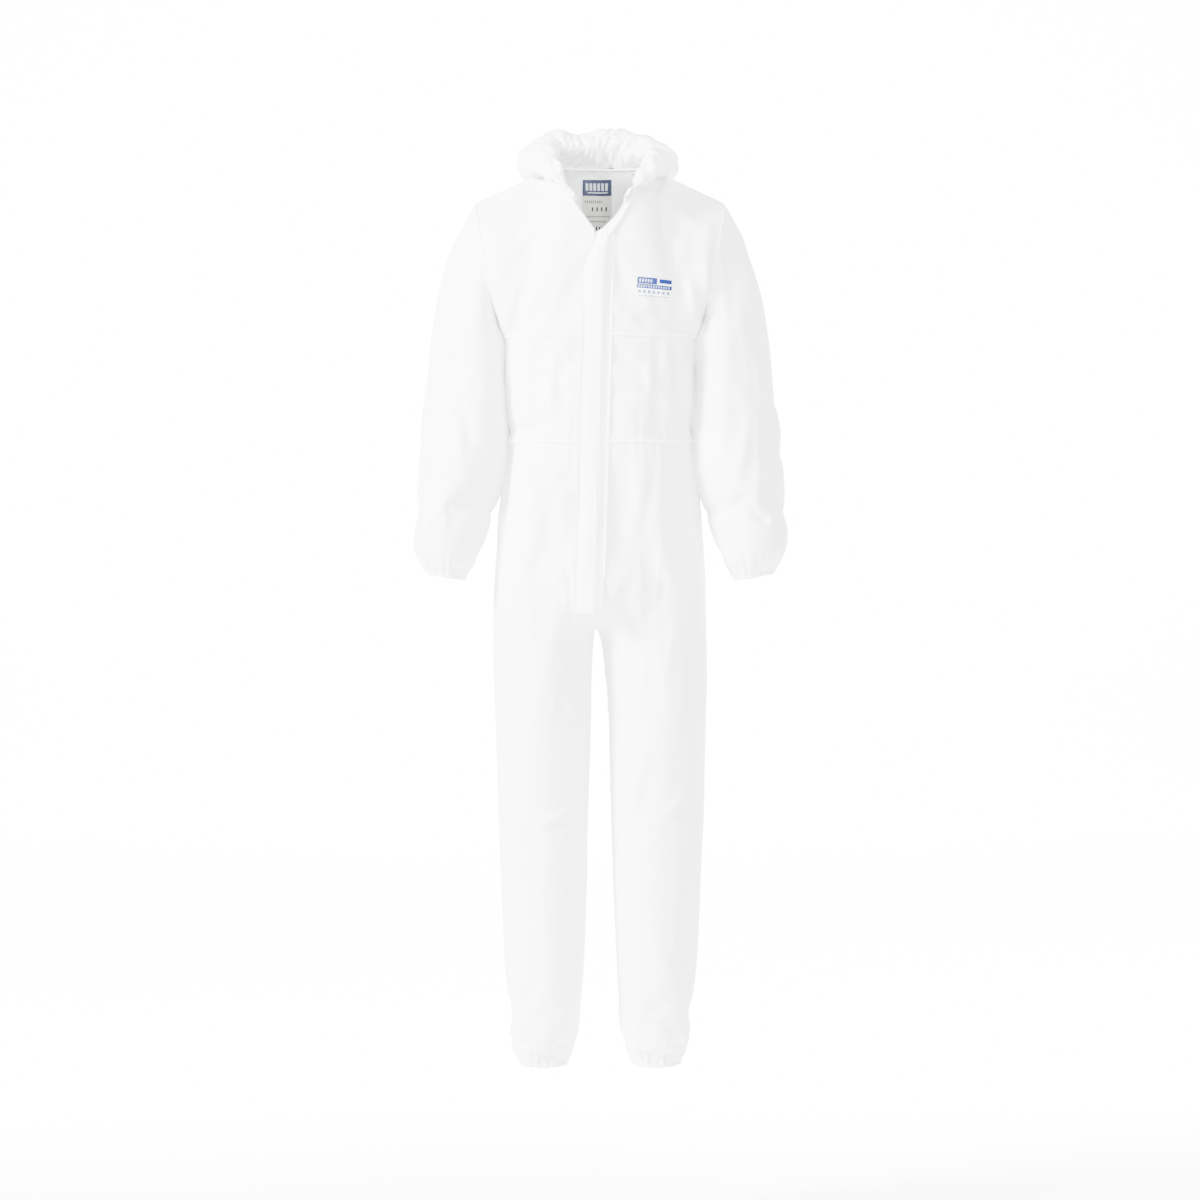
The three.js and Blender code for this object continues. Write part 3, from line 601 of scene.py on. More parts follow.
# %% [markdown]
# ## Finer cloth, then fine folds
# One level of subdivision brings the quads to 4 mm. Elastic draws cloth into pleats that are too narrow for the solver,
# so those are added now, as waves along the surface's own normals that fade with distance from the elastic.


# %% Subdivide, and read the result as arrays
class Skin:
    """The points, faces, panels and cloth coordinates of a subdivided sheet."""

    def __init__(self, sheet):
        finer = sheet.modifiers.new("finer", "SUBSURF")
        finer.levels = finer.render_levels = 1
        mesh = sheet.evaluated_get(bpy.context.evaluated_depsgraph_get()).to_mesh()
        self.points = np.zeros(len(mesh.vertices) * 3)
        mesh.vertices.foreach_get("co", self.points)
        self.points = self.points.reshape(-1, 3)
        quads = np.zeros(len(mesh.loops), np.int32)
        mesh.loops.foreach_get("vertex_index", quads)
        self.quads = quads.reshape(-1, 4)
        uv = np.zeros(len(mesh.loops) * 2)
        mesh.uv_layers["cloth"].data.foreach_get("uv", uv)
        self.uv = uv.reshape(-1, 4, 2)
        self.panel = np.zeros(len(self.quads), np.int32)
        mesh.attributes["panel"].data.foreach_get("value", self.panel)
        bpy.data.objects.remove(sheet)
        self.find_normals()

    def find_normals(self):
        corner = self.points[self.quads]
        face = np.cross(corner[:, 2] - corner[:, 0], corner[:, 3] - corner[:, 1])
        self.normals = np.zeros_like(self.points)
        for k in range(4):
            np.add.at(self.normals, self.quads[:, k], face)
        self.normals /= np.maximum(np.linalg.norm(self.normals, axis=1, keepdims=True), 1e-12)

    def of(self, names):
        return np.isin(self.panel, [panel_names.index(name) for name in names])

    def points_of(self, names):
        found = np.zeros(len(self.points), bool)
        found[np.unique(self.quads[self.of(names)])] = True
        return found

    def push(self, distance):
        self.points += self.normals * distance[:, None]
        self.find_normals()


skin = Skin(skin)
print("finer cloth", len(skin.points), "points")

# %% Gathers beside the elastic
def ripples(points, pitch, seed):
    """Noise from -1 to 1 at each point, its features `pitch` (x, y, z) metres apart."""
    shift = Vector((seed * 7.31, seed * 3.17, seed * 1.73))
    scaled = points / np.array(pitch)
    return np.array([noise.noise(Vector(p) + shift) for p in scaled]) * 1.6


def pleats(angle, count, seed):
    """Uneven pleats round a ring: sharp crests, soft valleys."""
    rng = np.random.default_rng(seed)
    wave = np.zeros_like(angle)
    for share, more in ((1.0, 1.0), (0.6, 1.61), (0.4, 2.37)):
        turns = round(count * more)
        wave += share * np.sin(turns * angle + rng.uniform(0, 6.28) + 0.8 * np.sin(3 * angle + rng.uniform(0, 6.28)))
    return wave / 1.6


x, y, z = skin.points.T
trunk = skin.points_of([f"{n}_{h}" for n in ("midriff", "seat") for h in ("left", "right")])
near_waist = np.where(z > -0.462, bell(z, -0.462, 0.030), bell(z, -0.462, 0.042)) * trunk
uneven = 0.35 + 0.65 * smooth(ripples(skin.points, (0.09, 0.09, 2), 4), -0.4, 0.5)
distance = 0.0022 * near_waist * uneven * pleats(np.arctan2(x, -y), 58, 11)
for side, hand in ((1, "left"), (-1, "right")):
    leg = skin.points_of([f"leg_{hand}"])
    angle = np.arctan2(y - 0.014, (x - side * 0.096) * side)
    distance += 0.0024 * leg * smooth(-z, 1.462, 1.517) * pleats(angle, 22, 12 + side)
    forearm = skin.points_of([f"forearm_{hand}"])
    angle = np.arctan2(y + 0.034, (x - side * 0.259) * side)
    distance += 0.0020 * forearm * smooth(-z, 0.632, 0.682) * pleats(angle, 20, 22 + side)
skin.push(distance)
print("gathers up to", round(float(np.abs(distance).max()) * 1000, 1), "mm")

# %% [markdown]
# ## Folds that stand in the cloth
# Some folds come from how a suit is packed, worn and held: long soft ones down the body and sleeves, and short slanted
# ones at the knees, elbows and armpits. The long ones are stretched noise with crisp crests. The short ones are placed
# one by one: a middle, a length, a slant, a width and a height.

# %% Standing folds
x, y, z = skin.points.T


def crests(pitch, seed):
    """Stretched noise whose crests are crisp and whose valleys are soft, about -0.5 to 0.5."""
    return 0.5 - np.abs(ripples(skin.points, pitch, seed))


def fold(middle, length, slant, width, height, behind=False):
    """One fold across the front or back: middle (x, z) and sizes in metres, slant in degrees from upright."""
    turn = math.radians(slant)
    dx, dz = x - middle[0], z - middle[1]
    along = dx * math.sin(turn) + dz * math.cos(turn)
    off = dx * math.cos(turn) - dz * math.sin(turn) + 0.06 * along * np.sin(along / length * 2.2)
    shape = bell(off, 0, width) - 0.55 * bell(off, 1.5 * width, 1.1 * width)
    facing = smooth(y, -0.01, 0.03) if behind else smooth(-y, -0.03, 0.01)
    return height * shape * bell(along, 0, length) * facing


def mask(*words):
    return skin.points_of([f"{word}_{hand}" for word in words for hand in ("left", "right")])


trunk, chest = mask("midriff", "seat"), mask("chest_front", "chest_back")
sleeves, legs = mask("arm", "forearm"), mask("leg", "seat")
held_down = 1 - 0.85 * bell(z, -0.284, 0.012) - 0.7 * bell(z, -0.462, 0.012)
distance = trunk * held_down * smooth(-z, 0.284, 0.32) * 0.0034 * crests((0.034, 0.05, 0.20), 51)
distance += chest * 0.0016 * crests((0.05, 0.06, 0.14), 52) * smooth(-z, 0.05, 0.12) * held_down
distance += sleeves * 0.0046 * crests((0.050, 0.050, 0.20), 53) * smooth(np.abs(x), 0.19, 0.24)
distance += sleeves * 0.0022 * crests((0.026, 0.03, 0.07), 54) * bell(z, -0.42, 0.12)
distance += legs * 0.0034 * crests((0.045, 0.05, 0.30), 55) * smooth(-z, 0.62, 0.9)
distance += legs * 0.0020 * crests((0.040, 0.03, 0.030), 56) * (0.7 * bell(z, -1.10, 0.06) + bell(z, -1.44, 0.05))
placed = (
    ((-0.068, -1.093), 0.034, 62, 0.008, 0.0052),
    ((-0.140, -1.190), 0.020, 74, 0.006, 0.0030),
    ((-0.118, -1.150), 0.030, -38, 0.009, 0.0036),
    ((0.100, -1.150), 0.032, -66, 0.008, 0.0044),
    ((0.128, -1.075), 0.030, 40, 0.009, 0.0036),
    ((0.062, -1.050), 0.060, 14, 0.011, 0.0040),
    ((0.186, -0.215), 0.055, -6, 0.009, 0.0062),
    ((0.158, -0.235), 0.060, -12, 0.010, 0.0048),
    ((0.130, -0.165), 0.050, 10, 0.012, 0.0036),
    ((-0.150, -0.240), 0.050, 16, 0.010, 0.0040),
    ((0.118, -0.375), 0.075, -3, 0.011, 0.0056),
    ((0.082, -0.365), 0.065, 2, 0.009, 0.0040),
    ((0.146, -0.350), 0.055, -8, 0.008, 0.0046),
    ((-0.118, -0.370), 0.060, 5, 0.010, 0.0036),
    ((-0.078, -0.390), 0.055, -4, 0.010, 0.0028),
    ((0.100, -0.540), 0.070, 6, 0.012, 0.0046),
    ((0.066, -0.560), 0.080, 9, 0.012, 0.0040),
    ((-0.112, -0.545), 0.075, -7, 0.013, 0.0036),
    ((-0.060, -0.570), 0.080, -4, 0.012, 0.0028),
    ((-0.050, -0.708), 0.042, -4, 0.005, -0.0060),
    ((0.020, -0.735), 0.050, 24, 0.010, 0.0034),
    ((-0.045, -0.735), 0.050, -24, 0.010, 0.0034),
    ((0.262, -0.330), 0.060, -14, 0.013, 0.0052),
    ((0.292, -0.420), 0.050, -24, 0.012, 0.0050),
    ((0.240, -0.480), 0.060, 12, 0.012, 0.0048),
    ((-0.262, -0.330), 0.070, 10, 0.013, 0.0042),
    ((-0.236, -0.450), 0.060, -14, 0.012, 0.0046),
    ((-0.285, -0.520), 0.050, 16, 0.012, 0.0040),
)
for middle, length, slant, width, height in placed:
    distance += fold(middle, length, slant, width, height)
for middle, length, slant, width, height in placed[:20:2]:
    distance += fold((-middle[0] * 0.9, middle[1] + 0.02), length * 1.2, -slant, width * 1.2, height * 0.8, behind=True)
distance *= 1 - 0.9 * bell(z, -1.522, 0.006)
skin.push(distance)
print("standing folds up to", round(float(np.abs(distance).max()) * 1000, 1), "mm")

# %% [markdown]
# ## Cut at the seams
# Each part of the suit becomes a thin closed shell: the cloth, its inner face and a rim. The normals come from the
# whole skin, so light runs over a cut without a crease.

# %% Shells of cloth
WALL = 0.0007


def shell(name, source, names, wall=WALL):
    chosen = source.of(names)
    quads, uv = source.quads[chosen], source.uv[chosen]
    used, compact = np.unique(quads, return_inverse=True)
    quads = compact.reshape(-1, 4)
    outer, normal = source.points[used], source.normals[used]
    points = np.concatenate([outer, outer - normal * wall])
    count = len(used)
    edges = np.stack([quads, np.roll(quads, -1, axis=1)], axis=-1).reshape(-1, 2)
    keys = np.sort(edges, axis=1) @ np.array([count, 1])
    _, index, uses = np.unique(keys, return_inverse=True, return_counts=True)
    border = edges[uses[index.ravel()] == 1]
    rims = np.stack([border[:, 1], border[:, 0], border[:, 0] + count, border[:, 1] + count], axis=-1)
    corner = points[rims]
    rim_normal = np.cross(corner[:, 2] - corner[:, 0], corner[:, 3] - corner[:, 1])
    rim_normal /= np.maximum(np.linalg.norm(rim_normal, axis=1, keepdims=True), 1e-12)
    edge_uv = np.zeros((len(rims), 4, 2))
    all_quads = np.concatenate([quads, quads[:, ::-1] + count, rims])
    all_uv = np.concatenate([uv, uv[:, ::-1], edge_uv])
    normals = np.concatenate([normal[quads], -normal[quads[:, ::-1]], np.repeat(rim_normal[:, None], 4, axis=1)])
    made = quad_mesh(name, points, all_quads, all_uv, normals)
    corner = outer[quads]
    area = np.linalg.norm(np.cross(corner[:, 2] - corner[:, 0], corner[:, 3] - corner[:, 1]), axis=1).sum() / 2
    made["cloth_area"] = float(area)
    print(name, len(all_quads) * 2, "triangles,", round(float(area), 3), "square metres of cloth")
    return made


# %% [markdown]
# ## Nonwoven cloth
# The cloth is spun fibre pressed together at small points, so it is matt, white, slightly mottled, and has a fine
# emboss of dots. The dots follow the cloth, so they read its UV map, which is in metres.


# %% Nonwoven
def nonwoven(name, white, tint):
    g = Graph(name)
    uv = g.uv()
    u, v, _ = g.split(uv)
    pitch = 0.0021
    diagonal_a, diagonal_b = ((u + v) * (1 / pitch)).fraction() - 0.5, ((u - v) * (1 / pitch)).fraction() - 0.5
    spread = diagonal_a * diagonal_a + diagonal_b * diagonal_b
    dots = 1 - spread.above(0.02, 0.10)
    fibres = g.noise(uv, 900.0, 4.0, 0.7)
    clouds = g.noise(g.place(), 9.0, 4.0, 0.6)
    mottle = g.noise(uv, 160.0, 3.0, 0.6)
    height = fibres * 0.35 + mottle * 0.5 - dots * 0.45
    shade = clouds * 0.6 + mottle * 0.4
    color = g.mix(shade.above(0.3, 0.7), tuple(c * 0.965 for c in white) + (1,), tuple(white) + (1,))
    color = g.mix(dots * 0.18, color, tuple(tint) + (1,))
    rough = 0.74 + mottle * 0.12 - dots * 0.08
    return g.finish(color, rough, g.bump(height, 0.35, 0.0004), Sheen_Weight=0.12, Sheen_Roughness=0.5)


cloth_white = nonwoven("nonwoven_white", (0.865, 0.87, 0.88), (0.77, 0.785, 0.81))
# A brighter copy of the same cloth: partly the real whiteness of several layers at seams, the band and the flap, and
# partly painted light that makes these and the hood roll look lit.
layered_and_painted_lit_white = nonwoven("nonwoven_seam", (0.955, 0.958, 0.96), (0.88, 0.885, 0.90))


def dress(piece, material, slot_name):
    piece.data.materials.clear()
    piece.data.materials.append(material)
    return piece


SMALL_SHEET, NARROWEST = 0.01, 0.011


def sheet_of(piece, flat=None):
    """Works out the flat size of a piece's cut, its height and the width that gives its area, and drops its stored
    area.
    """
    if flat:
        del piece["cloth_area"]
        return
    area = piece["cloth_area"]
    corners = np.array([c[:] for c in piece.bound_box])
    tall = float(np.linalg.norm(np.ptp(corners, axis=0)) if area < SMALL_SHEET else np.ptp(corners[:, 2]))
    del piece["cloth_area"]
    tall = math.ceil(tall * 1000) / 1000
    width = max(math.ceil(area / tall * 1000) / 1000, NARROWEST)


for side, hand in ((1, "left"), (-1, "right")):
    for word, node in (("chest_front", "front_chest"), ("chest_back", "back_chest"), ("midriff", "midriff")):
        piece = dress(shell(f"{word}_cloth_{hand}", skin, [f"{word}_{hand}"]), cloth_white, "nonwoven")
        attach(piece, "torso")
        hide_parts(f"{node}_{hand}")
        sheet_of(piece)
    bends = (
        ("seat", ("hip", "crotch"), "torso", "upper_leg", (side * 0.5736, 0, -0.8192), (0.632, 0.742)),
        ("leg", ("thigh", "knee", "shin"), "upper_leg", "lower_leg", (0, 0, -1), (1.032, 1.182)),
        ("arm", ("sleeve_head", "sleeve_upper"), "torso", "upper_arm", (side * 0.8486, 0, -0.5291), (0.288, 0.318)),
        ("forearm", ("sleeve_elbow", "sleeve_lower"), "upper_arm", "forearm", (0, 0, -1), (0.386, 0.486)),
    )
    for word, nodes, upper, lower, way, (start, end) in bends:
        piece = dress(shell(f"{word}_cloth_{hand}", skin, [f"{word}_{hand}"]), cloth_white, "nonwoven")
        upper, lower = (b if b == "torso" else f"{b}_{hand}" for b in (upper, lower))
        way = np.array(way)
        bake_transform(piece)
        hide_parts(*(f"{node}_{hand}" for node in nodes))
        sheet_of(piece)


# %% [markdown]
# ## The hood, pushed back
# A hood off the head lies in a thick, crumpled roll round the neck. It starts at the neck seam, falls outward as a
# bag, comes up over the top, and its elastic face edge tucks down inside. The roll is laid as a smooth tube first. The
# solver then crumples it, because it has much more cloth than the roll needs.

# %% Hood roll
HOOD_START, HOOD_REACH = 0.28, 78.0


def hood_seam(u):
    k = lerp(HOOD_START, 1, u)
    return np.where((k < 0.5)[..., None], front_neckline(k), back_neckline(1 - k)) + np.array([0, 0, 0.85])


def hood_point(side, u, v):
    """u from the front end of the roll to the back of the neck, v once round the roll from the neck seam."""
    seam = hood_seam(u)
    out = xyz(seam[..., 0], (seam[..., 1] - 5) * 1.15, 0)
    out /= np.linalg.norm(out, axis=-1, keepdims=True)
    behind = smooth(u, 0.2, 1)
    size = lerp(0.16, 0.84, smooth(u, -0.22, 0.5)) + 0.26 * smooth(u, 0.40, 0.66)
    size *= 1 + 0.09 * (side < 0) * (1 - smooth(u, 0.4, 0.9))
    rows = (
        (0.00, 0.00, 0.00, 0.00, 0.00),
        (0.10, 0.22, -0.06, 0.30, -0.30),
        (0.24, 0.56, 0.04, 0.74, -0.50),
        (0.38, 0.74, 0.36, 1.00, -0.08),
        (0.52, 0.64, 0.68, 0.96, 0.44),
        (0.66, 0.30, 0.88, 0.60, 0.86),
        (0.78, -0.04, 0.80, 0.14, 0.94),
        (0.90, -0.16, 0.44, -0.12, 0.58),
        (1.00, -0.03, 0.05, 0.05, 0.05),
    )
    front_section = through([(row[0], row[1], row[2]) for row in rows])(v)
    back_section = through([(row[0], row[3], row[4]) for row in rows])(v)
    section = lerp(front_section, back_section, behind[..., None]) * (HOOD_REACH * size)[..., None]
    point = seam + out * section[..., :1] + np.array([0, 0, 1.0]) * section[..., 1:]
    point[..., 0] *= side
    return point


hood = Garment()
for side, hand in ((1, "left"), (-1, "right")):
    u, v = np.meshgrid(np.linspace(-0.13, 1, 73), np.linspace(0, 1, 61), indexing="ij")
    pin = np.clip((v == 0) * 1.0 + 0.5 * (v == 1) + 0.4 * (u < -0.12) + 0.012, 0, 1)
    hood.lay(f"hood_{hand}", hood_point(side, u, v), side, pin, 0.35 + 0.65 * smooth(v, 0.2, 0.5))
hood = hood.welded("hood_cloth")

seeded = np.array([vert.co for vert in hood.data.vertices])
swell = ripples(seeded, (0.030, 0.030, 0.045), 5) * 0.0035 + ripples(seeded, (0.065, 0.065, 0.065), 6) * 0.005
around = np.arctan2(seeded[:, 0], -seeded[:, 1])
gather = pleats(around, 17, 31) * 0.0009
normals = np.array([vert.normal for vert in hood.data.vertices])
free = smooth(seeded[:, 2], -0.03, 0.03)
hood.data.vertices.foreach_set("co", (seeded + normals * ((swell + gather) * free)[:, None]).astype(np.float32).ravel())
hood.data.update()
HOOD_FRAMES, HOOD_CAP, HOOD_SLACK, HOOD_SLACK_AT_ROLL = 18, 0.014, 0.05, 0.16
settle(hood, HOOD_FRAMES, HOOD_CAP, HOOD_SLACK, HOOD_SLACK_AT_ROLL, stiffness=10.0, bending=0.15, gravity=0.1)
hood = Skin(hood)
crumple = 1 - np.abs(ripples(hood.points, (0.016, 0.016, 0.022), 8))
arc = np.arctan2(hood.points[:, 0], -hood.points[:, 1]) * 0.085
height = hood.points[:, 2]
slanting = np.stack([arc + 0.8 * height, np.zeros_like(arc), height - 0.5 * arc], axis=-1)
folds = 0.5 - np.abs(ripples(slanting, (0.020, 1, 0.075), 17))
hood.push(0.0011 * (crumple - 0.6) + 0.0012 * ripples(hood.points, (0.008, 0.008, 0.02), 9) + 0.0042 * folds)

# %% Hood pieces
for side, hand in ((1, "left"), (-1, "right")):
    # The hood roll takes the brighter cloth: painted light, standing in for light falling on its top.
    piece = dress(shell(f"hood_cloth_{hand}", hood, [f"hood_{hand}"]), layered_and_painted_lit_white, "nonwoven")
    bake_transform(piece)
    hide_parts(f"hood_{hand}")
    sheet_of(piece)

# %% [markdown]
# ## Seams
# Where panels meet, the edges are overlocked: trimmed, folded and wrapped with thread. That makes a narrow raised cord
# of several layers, which looks whiter than the single cloth. Its brighter cloth is partly that real whiteness and
# partly painted light, to make the cord look lit. Its path is read from the cut skin, so it follows every fold. The
# ridge is a rounded section swept along the path, and Geometry Nodes lay one thread after another over it.


# %% Paths along seams
def face_edges(source, names):
    quads = source.quads[source.of(names)]
    return np.sort(np.stack([quads, np.roll(quads, -1, axis=1)], axis=-1).reshape(-1, 2), axis=1)


def chain(edges):
    """Point numbers in order along the longest line of these edges, and whether it closes."""
    touching = {}
    for a, b in edges.tolist():
        touching.setdefault(a, []).append(b)
        touching.setdefault(b, []).append(a)
    best, closed, left = [], False, set(touching)
    while left:
        ends = [p for p in left if len(touching[p]) == 1]
        line = [min(ends) if ends else min(left)]
        left.discard(line[0])
        while True:
            onward = [p for p in touching[line[-1]] if p in left]
            if not onward:
                break
            line.append(onward[0])
            left.discard(onward[0])
        if len(line) > len(best):
            best, closed = line, line[0] in touching[line[-1]] and len(line) > 3
    return best, closed


def seam_between(source, names_a, names_b):
    a, b = face_edges(source, names_a), face_edges(source, names_b)
    size = len(source.points)
    return chain(a[np.isin(a @ np.array([size, 1]), b @ np.array([size, 1]))])


def open_edge(source, names):
    edges = face_edges(source, names)
    whole = face_edges(source, panel_names)
    size = len(source.points)
    keys, uses = np.unique(whole @ np.array([size, 1]), return_counts=True)
    return chain(edges[np.isin(edges @ np.array([size, 1]), keys[uses == 1])])


def eased(values, closed, times):
    for _ in range(times):
        before, after = np.roll(values, 1, axis=0), np.roll(values, -1, axis=0)
        middle = (before + 2 * values + after) / 4
        if not closed:
            middle[0], middle[-1] = values[0], values[-1]
        values = middle
    return values


def unit(vectors):
    return vectors / np.maximum(np.linalg.norm(vectors, axis=-1, keepdims=True), 1e-12)


class Path:
    """Points in order with the cloth's normals: along, across and up at each."""

    def __init__(self, points, normals, closed=False, soften=2):
        self.points, self.closed = eased(np.array(points), closed, soften), closed
        ahead, behind = np.roll(self.points, -1, axis=0), np.roll(self.points, 1, axis=0)
        if not closed:
            ahead[-1], behind[0] = self.points[-1], self.points[0]
        self.along = unit(ahead - behind)
        up = eased(np.array(normals), closed, soften)
        self.up = unit(up - self.along * (up * self.along).sum(axis=1, keepdims=True))
        self.across = np.cross(self.up, self.along)

    def shifted(self, across, up):
        """The same path moved across and up, in millimetres."""
        moved = self.points + (self.across * across + self.up * up) * MM
        return Path(moved, self.up, self.closed, 0)


def path_of(source, found, soften=2):
    line, closed = found
    return Path(source.points[line], source.normals[line], closed, soften)


def rounded(width, height, corners=10, power=2.6):
    """A closed section: a flattened round, in millimetres."""
    turn = np.linspace(0, 2 * math.pi, corners, endpoint=False)
    across, up = np.cos(turn), np.sin(turn)
    return np.stack([width / 2 * signed_power(across, 2 / power), height / 2 * signed_power(up, 2 / power)], axis=-1)


def swept(name, path, section, swell=None):
    """A closed tube of this section along the path; swell scales it at each point."""
    scale = np.ones(len(path.points)) if swell is None else swell
    across = section[None, :, 0] * scale[:, None] * MM
    up = section[None, :, 1] * scale[:, None] * MM
    rings = path.points[:, None] + path.across[:, None] * across[..., None] + path.up[:, None] * up[..., None]
    count, corners = rings.shape[:2]
    index = np.arange(count * corners).reshape(count, corners)
    ahead = np.roll(index, -1, axis=0) if path.closed else index[1:]
    here = index if path.closed else index[:-1]
    quads = np.stack([here, np.roll(here, -1, axis=1), np.roll(ahead, -1, axis=1), ahead], axis=-1).reshape(-1, 4)
    faces = quads.tolist()
    if not path.closed:
        faces += [index[0][::-1].tolist(), index[-1].tolist()]
    mesh = bpy.data.meshes.new(name)
    mesh.from_pydata(rings.reshape(-1, 3).tolist(), [], faces)
    step = np.linalg.norm(np.diff(path.points, axis=0), axis=1).mean()
    layer = mesh.uv_layers.new(name="cloth").data
    row, column = np.divmod(np.array([loop.vertex_index for loop in mesh.loops]), corners)
    layer.foreach_set("uv", np.stack([row * step, column * 0.001], axis=-1).astype(np.float32).ravel())
    a, b, c = (rings.reshape(-1, 3)[quads[:, k]] for k in range(3))
    if (a * np.cross(b, c)).sum() < 0:
        mesh.flip_normals()
    mesh.polygons.foreach_set("use_smooth", np.ones(len(mesh.polygons), bool))
    made = bpy.data.objects.new(name, mesh)
    scene.collection.objects.link(made)
    return made


# %% Threads, with Geometry Nodes
def node_tree(name, sockets):
    tree = bpy.data.node_groups.new(name, "GeometryNodeTree")
    tree.interface.new_socket("Geometry", in_out="INPUT", socket_type="NodeSocketGeometry")
    for label, kind, value in sockets:
        socket = tree.interface.new_socket(label, in_out="INPUT", socket_type=kind)
        socket.default_value = value
    tree.interface.new_socket("Geometry", in_out="OUTPUT", socket_type="NodeSocketGeometry")
    return tree


def repeat_along(name, thread, material, across=True):
    """A tree that sets one small shape after another along a path whose points carry `up`."""
    floats = [("Spacing", 0.003), ("Thread Length", 0.005), ("Thread Radius", 0.0003), ("Slant", 0.35)]
    sockets = [(label, "NodeSocketFloat", value) for label, value in floats]
    tree = node_tree(name, [*sockets, ("Seed", "NodeSocketInt", 1)])
    nodes, links = tree.nodes, tree.links

    def add(kind, **settings):
        node = nodes.new(kind)
        for key, value in settings.items():
            setattr(node, key, value)
        return node

    given, result = add("NodeGroupInput"), add("NodeGroupOutput")
    curve, resample = add("GeometryNodeMeshToCurve"), add("GeometryNodeResampleCurve", mode="LENGTH")
    links.new(given.outputs["Geometry"], curve.inputs[0])
    links.new(curve.outputs[0], resample.inputs["Curve"])
    links.new(given.outputs["Spacing"], resample.inputs["Length"])
    up = add("GeometryNodeInputNamedAttribute", data_type="FLOAT_VECTOR")
    up.inputs["Name"].default_value = "up"
    tangent = add("GeometryNodeInputTangent")
    first = add("FunctionNodeAlignRotationToVector", axis="Z")
    second = add("FunctionNodeAlignRotationToVector", axis="X", pivot_axis="Z")
    links.new(up.outputs["Attribute"], first.inputs["Vector"])
    links.new(first.outputs["Rotation"], second.inputs["Rotation"])
    links.new(tangent.outputs[0], second.inputs["Vector"])
    spread = add("FunctionNodeRandomValue", data_type="FLOAT")
    links.new(given.outputs["Seed"], spread.inputs["Seed"])
    floats_in = [socket for socket in spread.inputs if socket.type == "VALUE" and socket.enabled]
    floats_in[0].default_value, floats_in[1].default_value = 0.8, 1.2
    slant = add("ShaderNodeMath", operation="MULTIPLY")
    links.new(given.outputs["Slant"], slant.inputs[0])
    links.new(next(o for o in spread.outputs if o.type == "VALUE" and o.enabled), slant.inputs[1])
    turn = add("ShaderNodeCombineXYZ")
    links.new(slant.outputs[0], turn.inputs["Z"])
    tilt = add("FunctionNodeRotateRotation", rotation_space="LOCAL")
    links.new(second.outputs["Rotation"], tilt.inputs["Rotation"])
    links.new(turn.outputs[0], tilt.inputs["Rotate By"])
    place = add("GeometryNodeInstanceOnPoints")
    links.new(resample.outputs["Curve"], place.inputs["Points"])
    links.new(thread(add, links, given), place.inputs["Instance"])
    links.new(tilt.outputs[0], place.inputs["Rotation"])
    real, finish = add("GeometryNodeRealizeInstances"), add("GeometryNodeSetMaterial")
    finish.inputs["Material"].default_value = material
    links.new(place.outputs["Instances"], real.inputs[0])
    links.new(real.outputs[0], finish.inputs["Geometry"])
    links.new(finish.outputs[0], result.inputs["Geometry"])
    return tree


def straight_thread(add, links, given):
    """A short round thread lying across the seam."""
    rod = add("GeometryNodeMeshCylinder", fill_type="NGON")
    rod.inputs["Vertices"].default_value = 6
    links.new(given.outputs["Thread Radius"], rod.inputs["Radius"])
    links.new(given.outputs["Thread Length"], rod.inputs["Depth"])
    lay = add("GeometryNodeTransform")
    lay.inputs["Rotation"].default_value = (math.pi / 2, 0, 0)
    links.new(rod.outputs["Mesh"], lay.inputs["Geometry"])
    return lay.outputs[0]


def coil_turn(add, links, given):
    """One turn of a zip coil: a loop of wire in the plane across its length."""
    loop, wire = add("GeometryNodeCurvePrimitiveCircle"), add("GeometryNodeCurvePrimitiveCircle")
    loop.inputs["Resolution"].default_value, wire.inputs["Resolution"].default_value = 10, 5
    links.new(given.outputs["Thread Length"], loop.inputs["Radius"])
    links.new(given.outputs["Thread Radius"], wire.inputs["Radius"])
    body, lay = add("GeometryNodeCurveToMesh"), add("GeometryNodeTransform")
    links.new(loop.outputs[0], body.inputs["Curve"])
    links.new(wire.outputs[0], body.inputs["Profile Curve"])
    lay.inputs["Rotation"].default_value = (0, math.pi / 2, 0)
    links.new(body.outputs[0], lay.inputs["Geometry"])
    return lay.outputs[0]


def laid_along(name, path, tree, **sizes):
    """Runs a tree along a path and returns the plain mesh."""
    mesh = bpy.data.meshes.new(name)
    count = len(path.points)
    edges = [(i, i + 1) for i in range(count - 1)] + ([(count - 1, 0)] if path.closed else [])
    mesh.from_pydata(path.points.tolist(), edges, [])
    up = mesh.attributes.new("up", "FLOAT_VECTOR", "POINT")
    up.data.foreach_set("vector", path.up.astype(np.float32).ravel())
    guide = bpy.data.objects.new(name, mesh)
    scene.collection.objects.link(guide)
    modifier = guide.modifiers.new("repeat", "NODES")
    modifier.node_group = tree
    for item in tree.interface.items_tree:
        key = item.name.replace(" ", "_")
        if item.in_out == "INPUT" and key in sizes:
            modifier[item.identifier] = sizes[key]
    depsgraph = bpy.context.evaluated_depsgraph_get()
    plain = bpy.data.meshes.new_from_object(guide.evaluated_get(depsgraph), depsgraph=depsgraph)
    guide.modifiers.clear()
    guide.data = plain
    plain.name = name
    print(name, len(plain.polygons), "faces")
    return guide


# %% Thread and seam materials
def thread_finish():
    g = Graph("white_thread")
    twist = g.noise(g.place(), 2500.0, 2.0, 0.6)
    color = g.mix(twist, (0.88, 0.89, 0.90, 1), (0.97, 0.97, 0.98, 1))
    return g.finish(color, 0.45 + twist * 0.2, g.bump(twist, 0.3, 0.0002), Sheen_Weight=0.2)


thread_white = thread_finish()
stitches = repeat_along("overlock_stitches", straight_thread, thread_white)
hands = ("left", "right")


